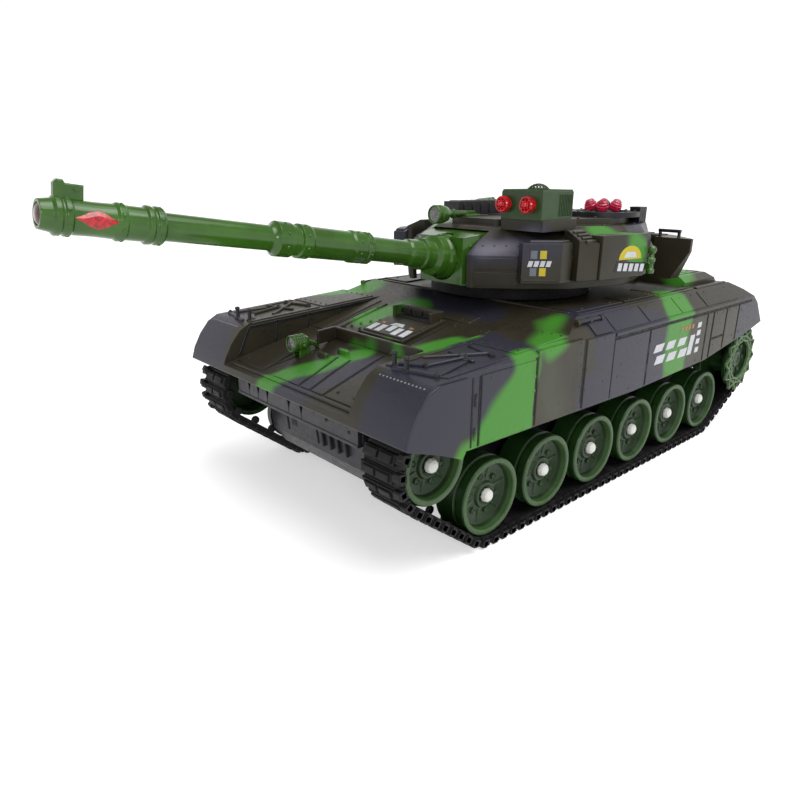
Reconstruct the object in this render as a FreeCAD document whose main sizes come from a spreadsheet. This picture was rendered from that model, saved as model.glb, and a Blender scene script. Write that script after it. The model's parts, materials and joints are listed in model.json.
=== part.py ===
import FreeCAD, Part
import Sketcher
import math
import os
from types import SimpleNamespace

from FreeCAD import Placement, Rotation, Vector

# Radio-controlled toy battle tank, about 1:24. Millimetres, +Z up, the gun points along -Y and the
# tank's left side is +X. The origin lies on the ground under the middle of the whole length.
# Every outline is written around the turret's axis of rotation, and each sub-part is then moved back
# by the cell axis_y, so "y" in an outline means the distance behind the turret's axis.

CELLS = {
    # overall reach before and behind the turret axis
    "gun_reach": 218.0,
    "track_rear": 146.5,
    # hull
    "hull_half": 75.0,
    "fender_half": 75.7,
    "fender_inner": 45.0,
    "shell_wall": 1.6,
    "skirt_wall": 1.2,
    "shoulder_wide": 9.0,
    "shoulder_high": 8.0,
    "deck_z": 84.0,
    "glacis_lip_y": -139.0,
    "glacis_lip_z": 58.8,
    "glacis_top_y": -49.0,
    "glacis_top_z": 79.2,
    "deck_hole": 36.0,
    "tub_half": 46.0,
    "tub_wall": 1.8,
    "tub_floor_z": 12.0,
    "tub_rim_z": 57.0,
    # running gear
    "wheel_pitch": 36.0,
    "wheel_z": 20.6,
    "wheel_radius": 16.0,
    "wheel_face_x": 69.7,
    "wheel_wide": 15.0,
    "idler_y": -121.0,
    "idler_z": 42.5,
    "idler_radius": 14.6,
    "sprocket_y": 125.5,
    "sprocket_z": 38.3,
    "drum_radius": 16.0,
    "star_radius": 19.0,
    "track_inner_x": 50.4,
    "track_outer_x": 71.8,
    "track_thick": 4.2,
    "track_gap": 0.4,
    "pin_radius": 1.5,
    "pin_head": 2.4,
    "drive_shaft": 2.0,
    "shaft_play": 0.05,
    # turret
    "collar_radius": 40.0,
    "turret_low_z": 91.5,
    "turret_crease_z": 106.0,
    "turret_roof_z": 117.0,
    "turret_wall": 1.8,
    "gear_module": 1.0,
    "ring_teeth": 64,
    "pinion_teeth": 12,
    "mesh_play": 0.12,
    "gear_low_z": 72.0,
    "gear_thick": 5.0,
    # gun
    "trunnion_y": -48.0,
    "trunnion_z": 103.3,
    "gun_rise": 8.2,
    "muzzle_reach": 171.1,
    "ball_radius": 10.4,
    "trunnion_radius": 2.5,
}


class Size:
    """A length that remembers the spreadsheet formula it comes from."""

    def __init__(self, value, formula=None):
        self.value = float(value)
        self.formula = formula if formula else f"({value})"
        self.bound = formula is not None

    def joined(self, other, sign, value):
        other = as_size(other)
        made = Size(value, f"({self.formula} {sign} {other.formula})")
        made.bound = self.bound or other.bound
        return made

    def __add__(self, other):
        return self.joined(other, "+", self.value + as_size(other).value)

    def __sub__(self, other):
        return self.joined(other, "-", self.value - as_size(other).value)

    def __mul__(self, other):
        return self.joined(other, "*", self.value * as_size(other).value)

    def __truediv__(self, other):
        return self.joined(other, "/", self.value / as_size(other).value)

    def __neg__(self):
        return as_size(0) - self

    def __radd__(self, other):
        return as_size(other) + self

    def __rsub__(self, other):
        return as_size(other) - self

    def __rmul__(self, other):
        return as_size(other) * self


def as_size(number):
    """A plain number as a Size; a Size stays itself."""
    return number if isinstance(number, Size) else Size(number)


doc = FreeCAD.newDocument("rc_tank")
sheet = doc.addObject("Spreadsheet::Sheet", "Dims")
D = SimpleNamespace()
for row, (alias, amount) in enumerate(CELLS.items(), start=1):
    sheet.set(f"A{row}", alias)
    sheet.set(f"B{row}", str(amount))
    sheet.setAlias(f"B{row}", alias)
    setattr(D, alias, Size(amount, f"Dims.{alias}"))
doc.recompute()

AXIS_Y = (D.gun_reach - D.track_rear) / 2
SIDES = {"left": 1, "right": -1}
NODES = {}


# ---------------------------------------------------------------- building blocks

def bind(thing, path, size):
    """Set one property from a size's value and, when it has one, its formula."""
    size = as_size(size)
    if size.bound:
        thing.setExpression(path, size.formula)


def place(thing, x=0, y=0, z=0, turn=None, local=False):
    """Put a sub-part at x, y, z around the turret axis; local leaves the axis shift out."""
    if not local:
        y = AXIS_Y + y
    x, y, z = as_size(x), as_size(y), as_size(z)
    thing.Placement = Placement(Vector(x.value, y.value, z.value), turn or Rotation())
    bind(thing, "Placement.Base.x", x)
    bind(thing, "Placement.Base.y", y)
    bind(thing, "Placement.Base.z", z)
    return thing


def keep(node, thing):
    """Name a finished sub-part."""
    thing.Label = node
    NODES[node] = thing
    return thing


def new_body(name):
    return doc.addObject("PartDesign::Body", name)


def fix_point(sketch, edge, end, x, y):
    """Hold one end of a sketch edge at x, y from the sketch's origin."""
    for kind, size, axis in (("DistanceX", as_size(x), -2), ("DistanceY", as_size(y), -1)):
        if abs(size.value) < 1e-9:
            sketch.addConstraint(Sketcher.Constraint("PointOnObject", edge, end, axis))
            continue
        rule = Sketcher.Constraint(kind, -1, 1, edge, end, size.value)
        index = sketch.addConstraint(rule)
        bind(sketch, f"Constraints[{index}]", size)


def sketch_on(body, plane, offset=0):
    """An empty sketch on one of the body's own origin planes, shifted along its normal."""
    made = body.newObject("Sketcher::SketchObject", f"{body.Name}_sketch")
    role = f"{plane}_Plane"
    origin = [f for f in body.Origin.OriginFeatures if f.Role == role][0]
    made.AttachmentSupport = [(origin, "")]
    made.MapMode = "FlatFace"
    offset = as_size(offset)
    made.AttachmentOffset = Placement(Vector(0, 0, offset.value), Rotation())
    bind(made, "AttachmentOffset.Base.z", offset)
    return made


def draw_outline(sketch, points):
    """Close a polygon through points, each a pair of sizes."""
    count = len(points)
    values = [Vector(as_size(x).value, as_size(y).value, 0) for x, y in points]
    first = sketch.GeometryCount
    for i in range(count):
        sketch.addGeometry(Part.LineSegment(values[i], values[(i + 1) % count]))
    for i in range(count):
        following = first + (i + 1) % count
        sketch.addConstraint(Sketcher.Constraint("Coincident", first + i, 2, following, 1))
    for i, (x, y) in enumerate(points):
        fix_point(sketch, first + i, 1, x, y)


def draw_circle(sketch, x, y, radius):
    radius = as_size(radius)
    centre = Vector(as_size(x).value, as_size(y).value, 0)
    edge = sketch.addGeometry(Part.Circle(centre, Vector(0, 0, 1), radius.value))
    if abs(as_size(x).value) < 1e-9 and abs(as_size(y).value) < 1e-9:
        sketch.addConstraint(Sketcher.Constraint("Coincident", edge, 3, -1, 1))
    else:
        fix_point(sketch, edge, 3, x, y)
    index = sketch.addConstraint(Sketcher.Constraint("Radius", edge, radius.value))
    bind(sketch, f"Constraints[{index}]", radius)


def extrude(body, kind, sketch, length, symmetric=False, backward=False):
    """Pad or pocket a sketch."""
    made = body.newObject(f"PartDesign::{kind}", f"{body.Name}_{kind}")
    made.Profile = sketch
    length = as_size(length)
    made.Length = length.value
    bind(made, "Length", length)
    if symmetric:
        made.SideType = "Symmetric"
    made.Reversed = backward
    return made


def slab(body, plane, points, length, offset=0, kind="Pad", symmetric=False, backward=False):
    sketch = sketch_on(body, plane, offset)
    draw_outline(sketch, points)
    return extrude(body, kind, sketch, length, symmetric, backward)


def disc(body, plane, x, y, radius, length, offset=0, kind="Pad", symmetric=False, backward=False):
    sketch = sketch_on(body, plane, offset)
    draw_circle(sketch, x, y, radius)
    return extrude(body, kind, sketch, length, symmetric, backward)


def turned(body, plane, points, axis):
    """Revolve a half profile a whole turn about one sketch axis."""
    sketch = sketch_on(body, plane)
    draw_outline(sketch, points)
    made = body.newObject("PartDesign::Revolution", f"{body.Name}_turned")
    made.Profile = sketch
    made.ReferenceAxis = (sketch, [axis])
    made.Angle = 360
    return made


def around(body, feature, axis_role, count):
    """Repeat a feature around one of the body's own axes."""
    made = body.newObject("PartDesign::PolarPattern", f"{body.Name}_pattern")
    made.Originals = [feature]
    made.Axis = ([f for f in body.Origin.OriginFeatures if f.Role == axis_role][0], [""])
    made.Angle = 360
    made.Occurrences = count
    body.Tip = made
    return made


def box(name, x, y, z, local=False):
    """A block from pairs of low and high limits."""
    made = doc.addObject("Part::Box", name)
    for side, (low, high) in (("Length", x), ("Width", y), ("Height", z)):
        size = as_size(high) - as_size(low)
        setattr(made, side, size.value)
        bind(made, side, size)
    return place(made, x[0], y[0], z[0], local=local)


ALONG = {
    "X": Rotation(Vector(0, 1, 0), 90),
    "Y": Rotation(Vector(1, 0, 0), -90),
    "Z": Rotation(),
    "-X": Rotation(Vector(0, 1, 0), -90),
    "-Y": Rotation(Vector(1, 0, 0), 90),
}


def rod(name, radius, length, at, along="Z", local=False):
    """A round bar that starts at a point and runs along an axis."""
    made = doc.addObject("Part::Cylinder", name)
    made.Radius = as_size(radius).value
    made.Height = as_size(length).value
    bind(made, "Radius", radius)
    bind(made, "Height", length)
    return place(made, *at, turn=ALONG[along], local=local)


def ball(name, radius, at, local=False):
    made = doc.addObject("Part::Sphere", name)
    made.Radius = as_size(radius).value
    bind(made, "Radius", radius)
    return place(made, *at, local=local)


def fuse(name, pieces):
    made = doc.addObject("Part::MultiFuse", name)
    made.Shapes = pieces
    made.Refine = True
    return made


def cut(name, base, tool):
    made = doc.addObject("Part::Cut", name)
    made.Base = base
    made.Tool = tool
    made.Refine = True
    return made


def group(name, pieces):
    """Several separate identical pieces in one node."""
    made = doc.addObject("Part::Compound", name)
    made.Links = pieces
    return made


def mirrored_outline(half):
    """A whole plan outline from its +X half, listed from front to back."""
    return list(half) + [(as_size(x) * -1, y) for x, y in reversed(half)]


def inset_path(points, wall):
    """Each point of an open path moved inwards, to its right, by the wall."""
    moved = []
    last = len(points) - 1
    for i, (y, z) in enumerate(points):
        before = points[max(i - 1, 0)]
        after = points[min(i + 1, last)]
        pairs = [(before, (y, z))] if i == last else []
        pairs += [((y, z), after)] if i == 0 else []
        pairs = pairs or [(before, (y, z)), ((y, z), after)]
        normals = []
        for start, end in pairs:
            run = math.hypot(end[0] - start[0], end[1] - start[1])
            normals.append(((end[1] - start[1]) / run, (start[0] - end[0]) / run))
        sum_y = sum(n[0] for n in normals)
        sum_z = sum(n[1] for n in normals)
        scale = len(normals) / (sum_y * sum_y + sum_z * sum_z)
        moved.append((wall * (sum_y * scale) + y, wall * (sum_z * scale) + z))
    return moved


# ---------------------------------------------------------------- hull

HULL_TOP = [(-141.0, 55.7), (-139.3, 61.0), (-135.8, 67.2), (-131.2, 72.6), (-126.5, 75.2), (-49.0, 79.2),
            (-37.0, 84.0), (109.0, 84.0), (118.5, 80.0), (131.0, 71.5), (141.0, 59.2)]
SKIRT_BOTTOM = [(127.5, 56.3), (114.0, 54.0), (99.0, 52.0), (72.0, 48.0), (0.0, 46.0), (-105.0, 47.5),
                (-112.5, 47.7), (-114.0, 45.4), (-125.0, 50.2)]
INNER_FLOOR_Z = 40.0
ABOVE_ALL_Z = 95.0


def hull_block(name, wall, side):
    """The hull's outer form, or with a wall the space inside it."""
    body = new_body(name)
    top = HULL_TOP if wall is None else inset_path(HULL_TOP, wall)
    bottom = SKIRT_BOTTOM if wall is None else [(top[-1][0], INNER_FLOOR_Z), (top[0][0], INNER_FLOOR_Z)]
    half = D.hull_half - side
    slab(body, "YZ", top + bottom, half * 2, symmetric=True)
    drop = 0 if wall is None else wall
    for sign in (1, -1):
        corner = [(half * sign, D.deck_z - D.shoulder_high - drop * 0.7),
                  (half * sign, ABOVE_ALL_Z),
                  ((D.hull_half - D.shoulder_wide * 2.5) * sign, ABOVE_ALL_Z),
                  ((D.hull_half - D.shoulder_wide - drop * 0.7) * sign, D.deck_z - drop * 0.2)]
        slab(body, "XZ", corner, 320, kind="Pocket", symmetric=True)
    reach = D.glacis_lip_y - 4
    rise = (D.glacis_top_z - D.glacis_lip_z) / (D.glacis_top_y - D.glacis_lip_y)
    low = D.glacis_lip_z - drop
    notch = [(reach, low - rise * 4), (D.glacis_top_y, D.glacis_top_z - drop),
             (D.glacis_top_y, ABOVE_ALL_Z), (reach, ABOVE_ALL_Z)]
    slab(body, "YZ", notch, (D.fender_inner + drop) * 2, kind="Pocket", symmetric=True)
    return place(body)


def fender_skin(name, side):
    """The outer skin of one front mudguard, standing a little proud of the skirt."""
    body = new_body(name)
    sign = SIDES[side]
    outline = [(-141.0, 55.7), (-139.3, 61.0), (-135.8, 67.2), (-131.2, 72.6), (-126.5, 74.6), (-112.5, 74.6),
               (-112.5, 47.7), (-114.0, 45.4), (-125.0, 50.2)]
    start = D.hull_half - D.skirt_wall / 2
    slab(body, "YZ", outline, D.fender_half - start, offset=start if sign > 0 else -start,
         backward=sign < 0)
    return place(body)


POST_SPOTS = [(sign * 40.0, y) for sign in (1, -1) for y in (-80.0, 92.0)]
POST_RADIUS = 3.6
SCREW_SHANK = 1.3
SCREW_HEAD = 2.7


def make_upper_hull():
    outer = hull_block("hull_outer", None, 0)
    inner = hull_block("hull_inner", D.shell_wall, D.skirt_wall)
    shell = cut("hull_shell", outer, inner)
    post_tops = {-80.0: 71.6, 92.0: 83.2}
    posts = []
    for i, (x, y) in enumerate(POST_SPOTS):
        low = D.tub_rim_z + 0.2
        posts.append(rod(f"deck_post_{i}", POST_RADIUS, as_size(post_tops[y]) - low, (x, y, low)))
    solid = fuse("hull_solid", [shell] + posts + [fender_skin(f"fender_skin_{s}", s) for s in SIDES])
    tools = [rod("deck_opening", D.deck_hole, 20, (0, 0, D.deck_z - 10))]
    for i, (x, y) in enumerate(POST_SPOTS):
        tools.append(rod(f"screw_pilot_{i}", SCREW_SHANK + 0.05, 9, (x, y, D.tub_rim_z - 1)))
    keep("upper_hull", cut("upper_hull", solid, fuse("hull_tools", tools)))


TUB_OUTER = [(-136.5, 57.0), (-118.3, 42.0), (-116.0, 23.0), (-110.0, 14.5), (-104.0, 12.0), (108.0, 12.0),
             (119.0, 15.0), (132.0, 38.0), (134.0, 57.0)]
BATTERY_WELL = {"x": (-24.0, 24.0), "y": (-40.0, 28.0)}
SWITCH_SLOT = {"x": (-4.0, 4.0), "y": (52.0, 66.0)}


def wheel_rows():
    """Every axle along one side: name, y, z, wheel radius."""
    rows = [("idler", D.idler_y, D.idler_z, D.idler_radius)]
    for i in range(6):
        rows.append((f"wheel_{i + 1}", D.wheel_pitch * (i - 2.5), D.wheel_z, D.wheel_radius))
    return rows


def make_lower_hull():
    body = new_body("tub_outer")
    slab(body, "YZ", TUB_OUTER, D.tub_half * 2, symmetric=True)
    place(body)
    inside = new_body("tub_inner")
    hollow = inset_path(TUB_OUTER, -D.tub_wall)
    hollow[0] = (as_size(hollow[0][0]), D.tub_rim_z + 1)
    hollow[-1] = (as_size(hollow[-1][0]), D.tub_rim_z + 1)
    slab(inside, "YZ", hollow, (D.tub_half - D.tub_wall) * 2, symmetric=True)
    place(inside)
    adds = [cut("tub_tray", body, inside)]
    tools = []
    boss_end = D.wheel_face_x - D.wheel_wide - 0.4
    for side, sign in SIDES.items():
        for name, y, z, _ in wheel_rows():
            start = (D.tub_half - D.tub_wall) * sign
            along = "X" if sign > 0 else "-X"
            length = boss_end - (D.tub_half - D.tub_wall)
            adds.append(rod(f"boss_{name}_{side}", 4.4, length, (start, y, z), along))
            spot = ((D.tub_half - 5) * sign, y, z)
            tools.append(rod(f"bore_{name}_{side}", D.pin_radius + 0.02, 20, spot, along))
        shaft_hole = D.drive_shaft + 0.5
        spot = ((D.tub_half - 4) * sign, D.sprocket_y, D.sprocket_z)
        tools.append(rod(f"drive_hole_{side}", shaft_hole, 8, spot, along))
    for i, (x, y) in enumerate(POST_SPOTS):
        low = D.tub_floor_z + 0.5
        adds.append(rod(f"tub_post_{i}", POST_RADIUS, D.tub_rim_z - low - 0.2, (x, y, low)))
        tools.append(rod(f"screw_bore_{i}", SCREW_SHANK + 0.1, 60, (x, y, D.tub_floor_z - 1)))
        tools.append(rod(f"screw_sink_{i}", SCREW_HEAD + 0.3, 3.4, (x, y, D.tub_floor_z - 1)))
    ledge = 2.0
    well_x = BATTERY_WELL["x"]
    well_y = BATTERY_WELL["y"]
    below = D.tub_floor_z - 1
    above = D.tub_floor_z + 4
    tools.append(box("battery_opening", (well_x[0] + ledge, well_x[1] - ledge),
                     (well_y[0] + ledge, well_y[1] - ledge), (below, above)))
    tools.append(box("battery_rebate", well_x, well_y, (below, D.tub_floor_z + 0.9)))
    tools.append(box("switch_opening", SWITCH_SLOT["x"], SWITCH_SLOT["y"], (below, above)))
    for i in range(7):
        spot = (-20 + 4.5 * (i % 3), 78 + 4.5 * (i // 3), below)
        tools.append(rod(f"speaker_hole_{i}", 1.2, 6, spot))
    keep("lower_hull", cut("lower_hull", fuse("tub_solid", adds), fuse("tub_tools", tools)))


def make_battery():
    well_x = BATTERY_WELL["x"]
    well_y = BATTERY_WELL["y"]
    play = 0.3
    plate = box("cover_plate", (well_x[0] + play, well_x[1] - play), (well_y[0] + play, well_y[1] - play),
                (D.tub_floor_z - 0.6, D.tub_floor_z + 0.7))
    grip = box("cover_grip", (-8.0, 8.0), (well_y[1] - 8.0, well_y[1] - 5.0),
               (D.tub_floor_z - 1.4, D.tub_floor_z))
    keep("battery_cover", fuse("battery_cover", [plate, grip]))
    cells = []
    for i in range(4):
        x = -16.5 + 11.0 * i
        cells.append(rod(f"cell_{i}", 5.3, 50, (x, -30.0, D.tub_floor_z + 9), "Y"))
    wrap = box("cell_wrap", (-21.8, 21.8), (-28.0, 18.0), (D.tub_floor_z + 6, D.tub_floor_z + 12))
    keep("battery_pack", fuse("battery_pack", cells + [wrap]))


def make_power_switch():
    cap = box("switch_cap", (-2.6, 2.6), (54.0, 59.0), (D.tub_floor_z - 1.2, D.tub_floor_z + 2))
    foot = box("switch_foot", (-5.5, 5.5), (53.0, 60.0), (D.tub_floor_z + 2.0, D.tub_floor_z + 3.4))
    keep("power_switch", fuse("power_switch", [cap, foot]))


def make_electrics():
    board = box("board_plate", (-30.0, 30.0), (-96.0, -52.0), (30.0, 31.6))
    chip = box("board_chip", (-8.0, 8.0), (-84.0, -70.0), (31.0, 33.4))
    can = rod("board_can", 4.0, 10.0, (20.0, -62.0, 31.0))
    legs = [box(f"board_leg_{i}", (x - 2, x + 2), (-76.0, -72.0), (13.8, 30.5))
            for i, x in enumerate((-27, 27))]
    keep("circuit_board", fuse("circuit_board", [board, chip, can] + legs))
    frame = rod("speaker_frame", 12.0, 3.0, (-15.5, 82.5, D.tub_floor_z + 1.8))
    magnet = rod("speaker_magnet", 6.5, 8.0, (-15.5, 82.5, D.tub_floor_z + 4))
    keep("speaker", fuse("speaker", [frame, magnet]))


def make_drive():
    motors = []
    for side, sign in SIDES.items():
        gearbox = new_body(f"gear_case_{side}")
        profile = [(104.0, 20.0), (119.2, 20.0), (129.4, 38.0), (130.2, 50.0), (104.0, 50.0)]
        slab(gearbox, "YZ", profile, 33.6, offset=10.0 * sign, backward=sign < 0)
        place(gearbox)
        along = "X" if sign > 0 else "-X"
        spot = (30 * sign, D.sprocket_y, D.sprocket_z)
        bore = rod(f"case_bore_{side}", D.drive_shaft + D.shaft_play, 22, spot, along)
        keep(f"gearbox_{side}", cut(f"gearbox_{side}", gearbox, bore))
        motors.append(rod(f"motor_can_{side}", 9.6, 28.0, (26.0 * sign, 75.8, 36.0), "Y"))
    keep("drive_motors", group("drive_motors", motors))


def make_screws():
    screws = []
    for i, (x, y) in enumerate(POST_SPOTS):
        head = rod(f"screw_head_{i}", SCREW_HEAD, 2.0, (x, y, D.tub_floor_z + 0.3))
        shank = rod(f"screw_shank_{i}", SCREW_SHANK, 52.0, (x, y, D.tub_floor_z + 1))
        screws.append(fuse(f"hull_screw_{i}", [head, shank]))
    keep("hull_screws", group("hull_screws", screws))


def glacis_z(y):
    """Height of the sloped front plate at y."""
    rise = (D.glacis_top_z - D.glacis_lip_z) / (D.glacis_top_y - D.glacis_lip_y)
    return D.glacis_lip_z + rise * (y - D.glacis_lip_y)


SPLASH_RIDGES = [
    [(-22.5, -97.0), (34.0, -97.0), (36.0, -95.2), (-22.5, -95.2)],
    [(-22.5, -95.2), (-22.5, -97.0), (-19.6, -107.5), (-18.0, -107.5), (-20.5, -95.2)],
]


def make_front_fittings():
    arms = []
    for outline in SPLASH_RIDGES:
        body = new_body("splash_arm")
        slab(body, "XY", outline, 6.0, offset=glacis_z(-101.0) + 0.4)
        arms.append(place(body))
    tool = new_body("splash_under")
    under = [(-115.0, 50.0), (-85.0, 50.0), (-85.0, glacis_z(-85.0)), (-115.0, glacis_z(-115.0))]
    slab(tool, "YZ", under, 90, symmetric=True)
    place(tool)
    keep("splash_board", cut("splash_board", fuse("splash_arms", arms), tool))
    z = glacis_z(-112.0) + 4.6
    can = rod("lamp_can", 3.9, 9.0, (-20.0, -121.0, z), "Y")
    stem = box("lamp_stem", (-22.0, -18.0), (-117.0, -112.0), (glacis_z(-112.0), z))
    well = rod("lamp_well", 3.1, 1.6, (-20.0, -121.5, z), "Y")
    keep("headlamp_housing", cut("headlamp_housing", fuse("lamp_body", [can, stem]), well))
    keep("headlamp_lens", rod("headlamp_lens", 3.05, 1.2, (-20.0, -121.1, z), "Y"))
    body = new_body("hatch_lid")
    front, back = -88.0, -62.0
    lid = [(front, glacis_z(front)), (back, glacis_z(back)), (back, glacis_z(back) + 1.6),
           (front, glacis_z(front) + 1.6)]
    slab(body, "YZ", lid, 30, symmetric=True)
    keep("driver_hatch", place(body))


ENGINE_DECK_Z = 89.0


def make_engine_deck():
    body = new_body("engine_deck")
    low = D.deck_z
    outline = [(71.0, low), (73.0, ENGINE_DECK_Z), (103.0, ENGINE_DECK_Z), (108.5, low)]
    slab(body, "YZ", outline, 118, symmetric=True)
    for sign in (1, -1):
        above = ENGINE_DECK_Z + 1
        corner = [(sign * 59.5, low + 2.0), (sign * 59.5, above), (sign * 53.0, above)]
        slab(body, "XZ", corner, 320, kind="Pocket", symmetric=True)
    keep("engine_deck", place(body))
    rows = []
    for i in range(9):
        y = 75.6 + 2.8 * i
        rows.append(box(f"grille_bar_{i}", (-42.0, 42.0), (y, y + 1.6),
                        (ENGINE_DECK_Z, ENGINE_DECK_Z + 0.6)))
    for i, x in enumerate((-42.0, -14.0, 12.4, 40.4)):
        rows.append(box(f"grille_rail_{i}", (x, x + 1.6), (75.6, 99.6),
                        (ENGINE_DECK_Z, ENGINE_DECK_Z + 0.7)))
    keep("engine_grille", fuse("engine_grille", rows))


# ---------------------------------------------------------------- running gear

def belt_wire(extra):
    """A closed belt around the idler, the end road wheels and the sprocket drum."""
    gap = D.track_gap.value
    end_y = D.wheel_pitch.value * 2.5
    circles = [(D.idler_y.value, D.idler_z.value, D.idler_radius.value),
               (-end_y, D.wheel_z.value, D.wheel_radius.value),
               (end_y, D.wheel_z.value, D.wheel_radius.value),
               (D.sprocket_y.value, D.sprocket_z.value, D.drum_radius.value)]
    circles = [(y, z, r + gap + extra) for y, z, r in circles]
    edges = []
    tangents = []
    for i, (y, z, r) in enumerate(circles):
        next_y, next_z, next_r = circles[(i + 1) % len(circles)]
        run = math.hypot(next_y - y, next_z - z)
        heading = math.atan2(next_z - z, next_y - y)
        lean = heading - math.pi / 2 - math.asin((next_r - r) / run)
        side = (math.cos(lean), math.sin(lean))
        start = (y + r * side[0], z + r * side[1])
        end = (next_y + next_r * side[0], next_z + next_r * side[1])
        tangents.append((start, end, lean))
    for i, (start, end, lean) in enumerate(tangents):
        edges.append(Part.makeLine(Vector(0, *start), Vector(0, *end)))
        follow, _, next_lean = tangents[(i + 1) % len(tangents)]
        y, z, r = circles[(i + 1) % len(circles)]
        turn = (next_lean - lean) % (2 * math.pi)
        middle = lean + turn / 2
        through = Vector(0, y + r * math.cos(middle), z + r * math.sin(middle))
        edges.append(Part.Arc(Vector(0, *end), through, Vector(0, *follow)).toShape())
    return Part.Wire(edges)


def make_tracks():
    for side, sign in SIDES.items():
        outer = Part.Face(belt_wire(D.track_thick.value))
        inner = Part.Face(belt_wire(0.0))
        width = D.track_outer_x.value - D.track_inner_x.value
        band = outer.cut(inner).extrude(Vector(width * sign, 0, 0))
        track = doc.addObject("Part::Feature", f"track_{side}")
        track.Shape = band
        place(track, D.track_inner_x * sign)
        keep(f"track_{side}", track)


FACE_OUT = {"left": Rotation(), "right": Rotation(Vector(0, 0, 1), 180)}


def dished_wheel(name, side, y, z, radius):
    """A moulded wheel: deep rim, recessed web, hub and a ring of bosses. Its axis is local X."""
    body = new_body(name)
    bore = D.pin_radius + D.shaft_play
    wide = D.wheel_wide
    profile = [(0, bore), (0, 4.4), (8.0, 4.4), (8.0, radius - 3.0), (0, radius - 2.2), (0, radius),
               (wide - 4.4, radius), (wide - 4.0, radius - 0.5), (wide - 3.6, radius),
               (wide - 0.5, radius), (wide, radius - 0.5), (wide, radius - 2.4),
               (wide - 4.6, radius - 3.8), (wide - 4.6, 4.6), (wide - 4.1, 3.4), (wide - 4.1, bore)]
    turned(body, "XY", profile, "H_Axis")
    boss = disc(body, "YZ", 0, radius * 0.48, 1.3, 2.2, offset=wide - 5.6)
    around(body, boss, "X_Axis", 6)
    sign = SIDES[side]
    place(body, (D.wheel_face_x - wide) * sign, y, z, turn=FACE_OUT[side])
    return keep(name, body)


def make_wheels():
    for side in SIDES:
        for name, y, z, radius in wheel_rows():
            node = f"idler_{side}" if name == "idler" else f"road_{name}_{side}"
            dished_wheel(node, side, y, z, radius)


def make_axle_pins():
    pins = []
    for side, sign in SIDES.items():
        for name, y, z, _ in wheel_rows():
            body = new_body("axle_pin")
            inner = D.tub_half - 4.0
            outer = D.wheel_face_x - 4.1 + 0.4
            grip = D.pin_radius
            profile = [(inner, 0), (inner, grip), (outer, grip), (outer, D.pin_head),
                       (outer + 1.1, D.pin_head), (outer + 1.8, D.pin_head * 0.6), (outer + 1.8, 0)]
            turned(body, "XY", profile, "H_Axis")
            pins.append(place(body, 0, y, z, turn=FACE_OUT[side]))
    keep("axle_pins", group("axle_pins", pins))


STAR_TEETH = 12


def make_sprockets():
    for side, sign in SIDES.items():
        body = new_body(f"sprocket_{side}")
        shaft = D.drive_shaft
        drum = D.drum_radius
        base = D.tub_half + 6.4
        rim = D.track_outer_x + 0.4
        profile = [(33.0, 0), (33.0, shaft), (base, shaft), (base, drum), (base + 5.0, drum),
                   (base + 5.0, 9.0), (rim - 3.0, 9.0), (rim - 3.0, drum), (rim - 0.6, drum),
                   (rim - 0.6, 14.0), (rim + 1.3, 14.0), (rim + 1.3, 11.6), (rim + 0.5, 11.0),
                   (rim + 0.5, 0)]
        turned(body, "XY", profile, "H_Axis")
        angle = math.pi / STAR_TEETH
        root = 13.6
        foot = (root * math.sin(angle), root * math.cos(angle))
        tooth = [(-foot[0], foot[1]), (foot[0], foot[1]), (0.7, D.star_radius), (-0.7, D.star_radius)]
        made = slab(body, "YZ", tooth, 1.3, offset=rim)
        around(body, made, "X_Axis", STAR_TEETH)
        doc.recompute()
        window = [(-foot[0] * 0.42, root + 0.9), (foot[0] * 0.42, root + 0.9), (0, D.star_radius - 1.9)]
        hole = slab(body, "YZ", window, 4.0, offset=rim + 2.0, kind="Pocket")
        around(body, hole, "X_Axis", STAR_TEETH)
        place(body, 0, D.sprocket_y, D.sprocket_z, turn=FACE_OUT[side])
        keep(f"sprocket_{side}", body)


# ---------------------------------------------------------------- gears

PRESSURE_ANGLE = math.radians(20)
FLANK_STEPS = 4


def gear_face(teeth, module, start_angle, play):
    """An involute gear outline in the XY plane, one tooth centred on start_angle."""
    pitch = module * teeth / 2
    base = pitch * math.cos(PRESSURE_ANGLE)
    tip = pitch + module * 0.95
    root = pitch - module * 1.2
    involute = math.tan(PRESSURE_ANGLE) - PRESSURE_ANGLE
    half_at_pitch = math.pi / 2 / teeth - play / 2 / pitch
    flank = []
    for i in range(FLANK_STEPS + 1):
        radius = max(base, root) + (tip - max(base, root)) * i / FLANK_STEPS
        lean = math.acos(min(1.0, base / radius))
        flank.append((radius, half_at_pitch + involute - (math.tan(lean) - lean)))
    points = []
    for tooth in range(teeth):
        centre = start_angle + 2 * math.pi * tooth / teeth
        points.append((root, centre - flank[0][1]))
        points += [(radius, centre - half) for radius, half in flank]
        points += [(radius, centre + half) for radius, half in reversed(flank)]
        points.append((root, centre + flank[0][1]))
    wire = [Vector(r * math.cos(a), r * math.sin(a), 0) for r, a in points]
    return Part.Face(Part.makePolygon(wire + wire[:1]))


def gear_solid(name, teeth, start_angle):
    made = doc.addObject("Part::Feature", name)
    face = gear_face(int(teeth.value), D.gear_module.value, start_angle, D.mesh_play.value)
    made.Shape = face.extrude(Vector(0, 0, D.gear_thick.value))
    return made


PINION_AT = math.radians(90)


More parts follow.
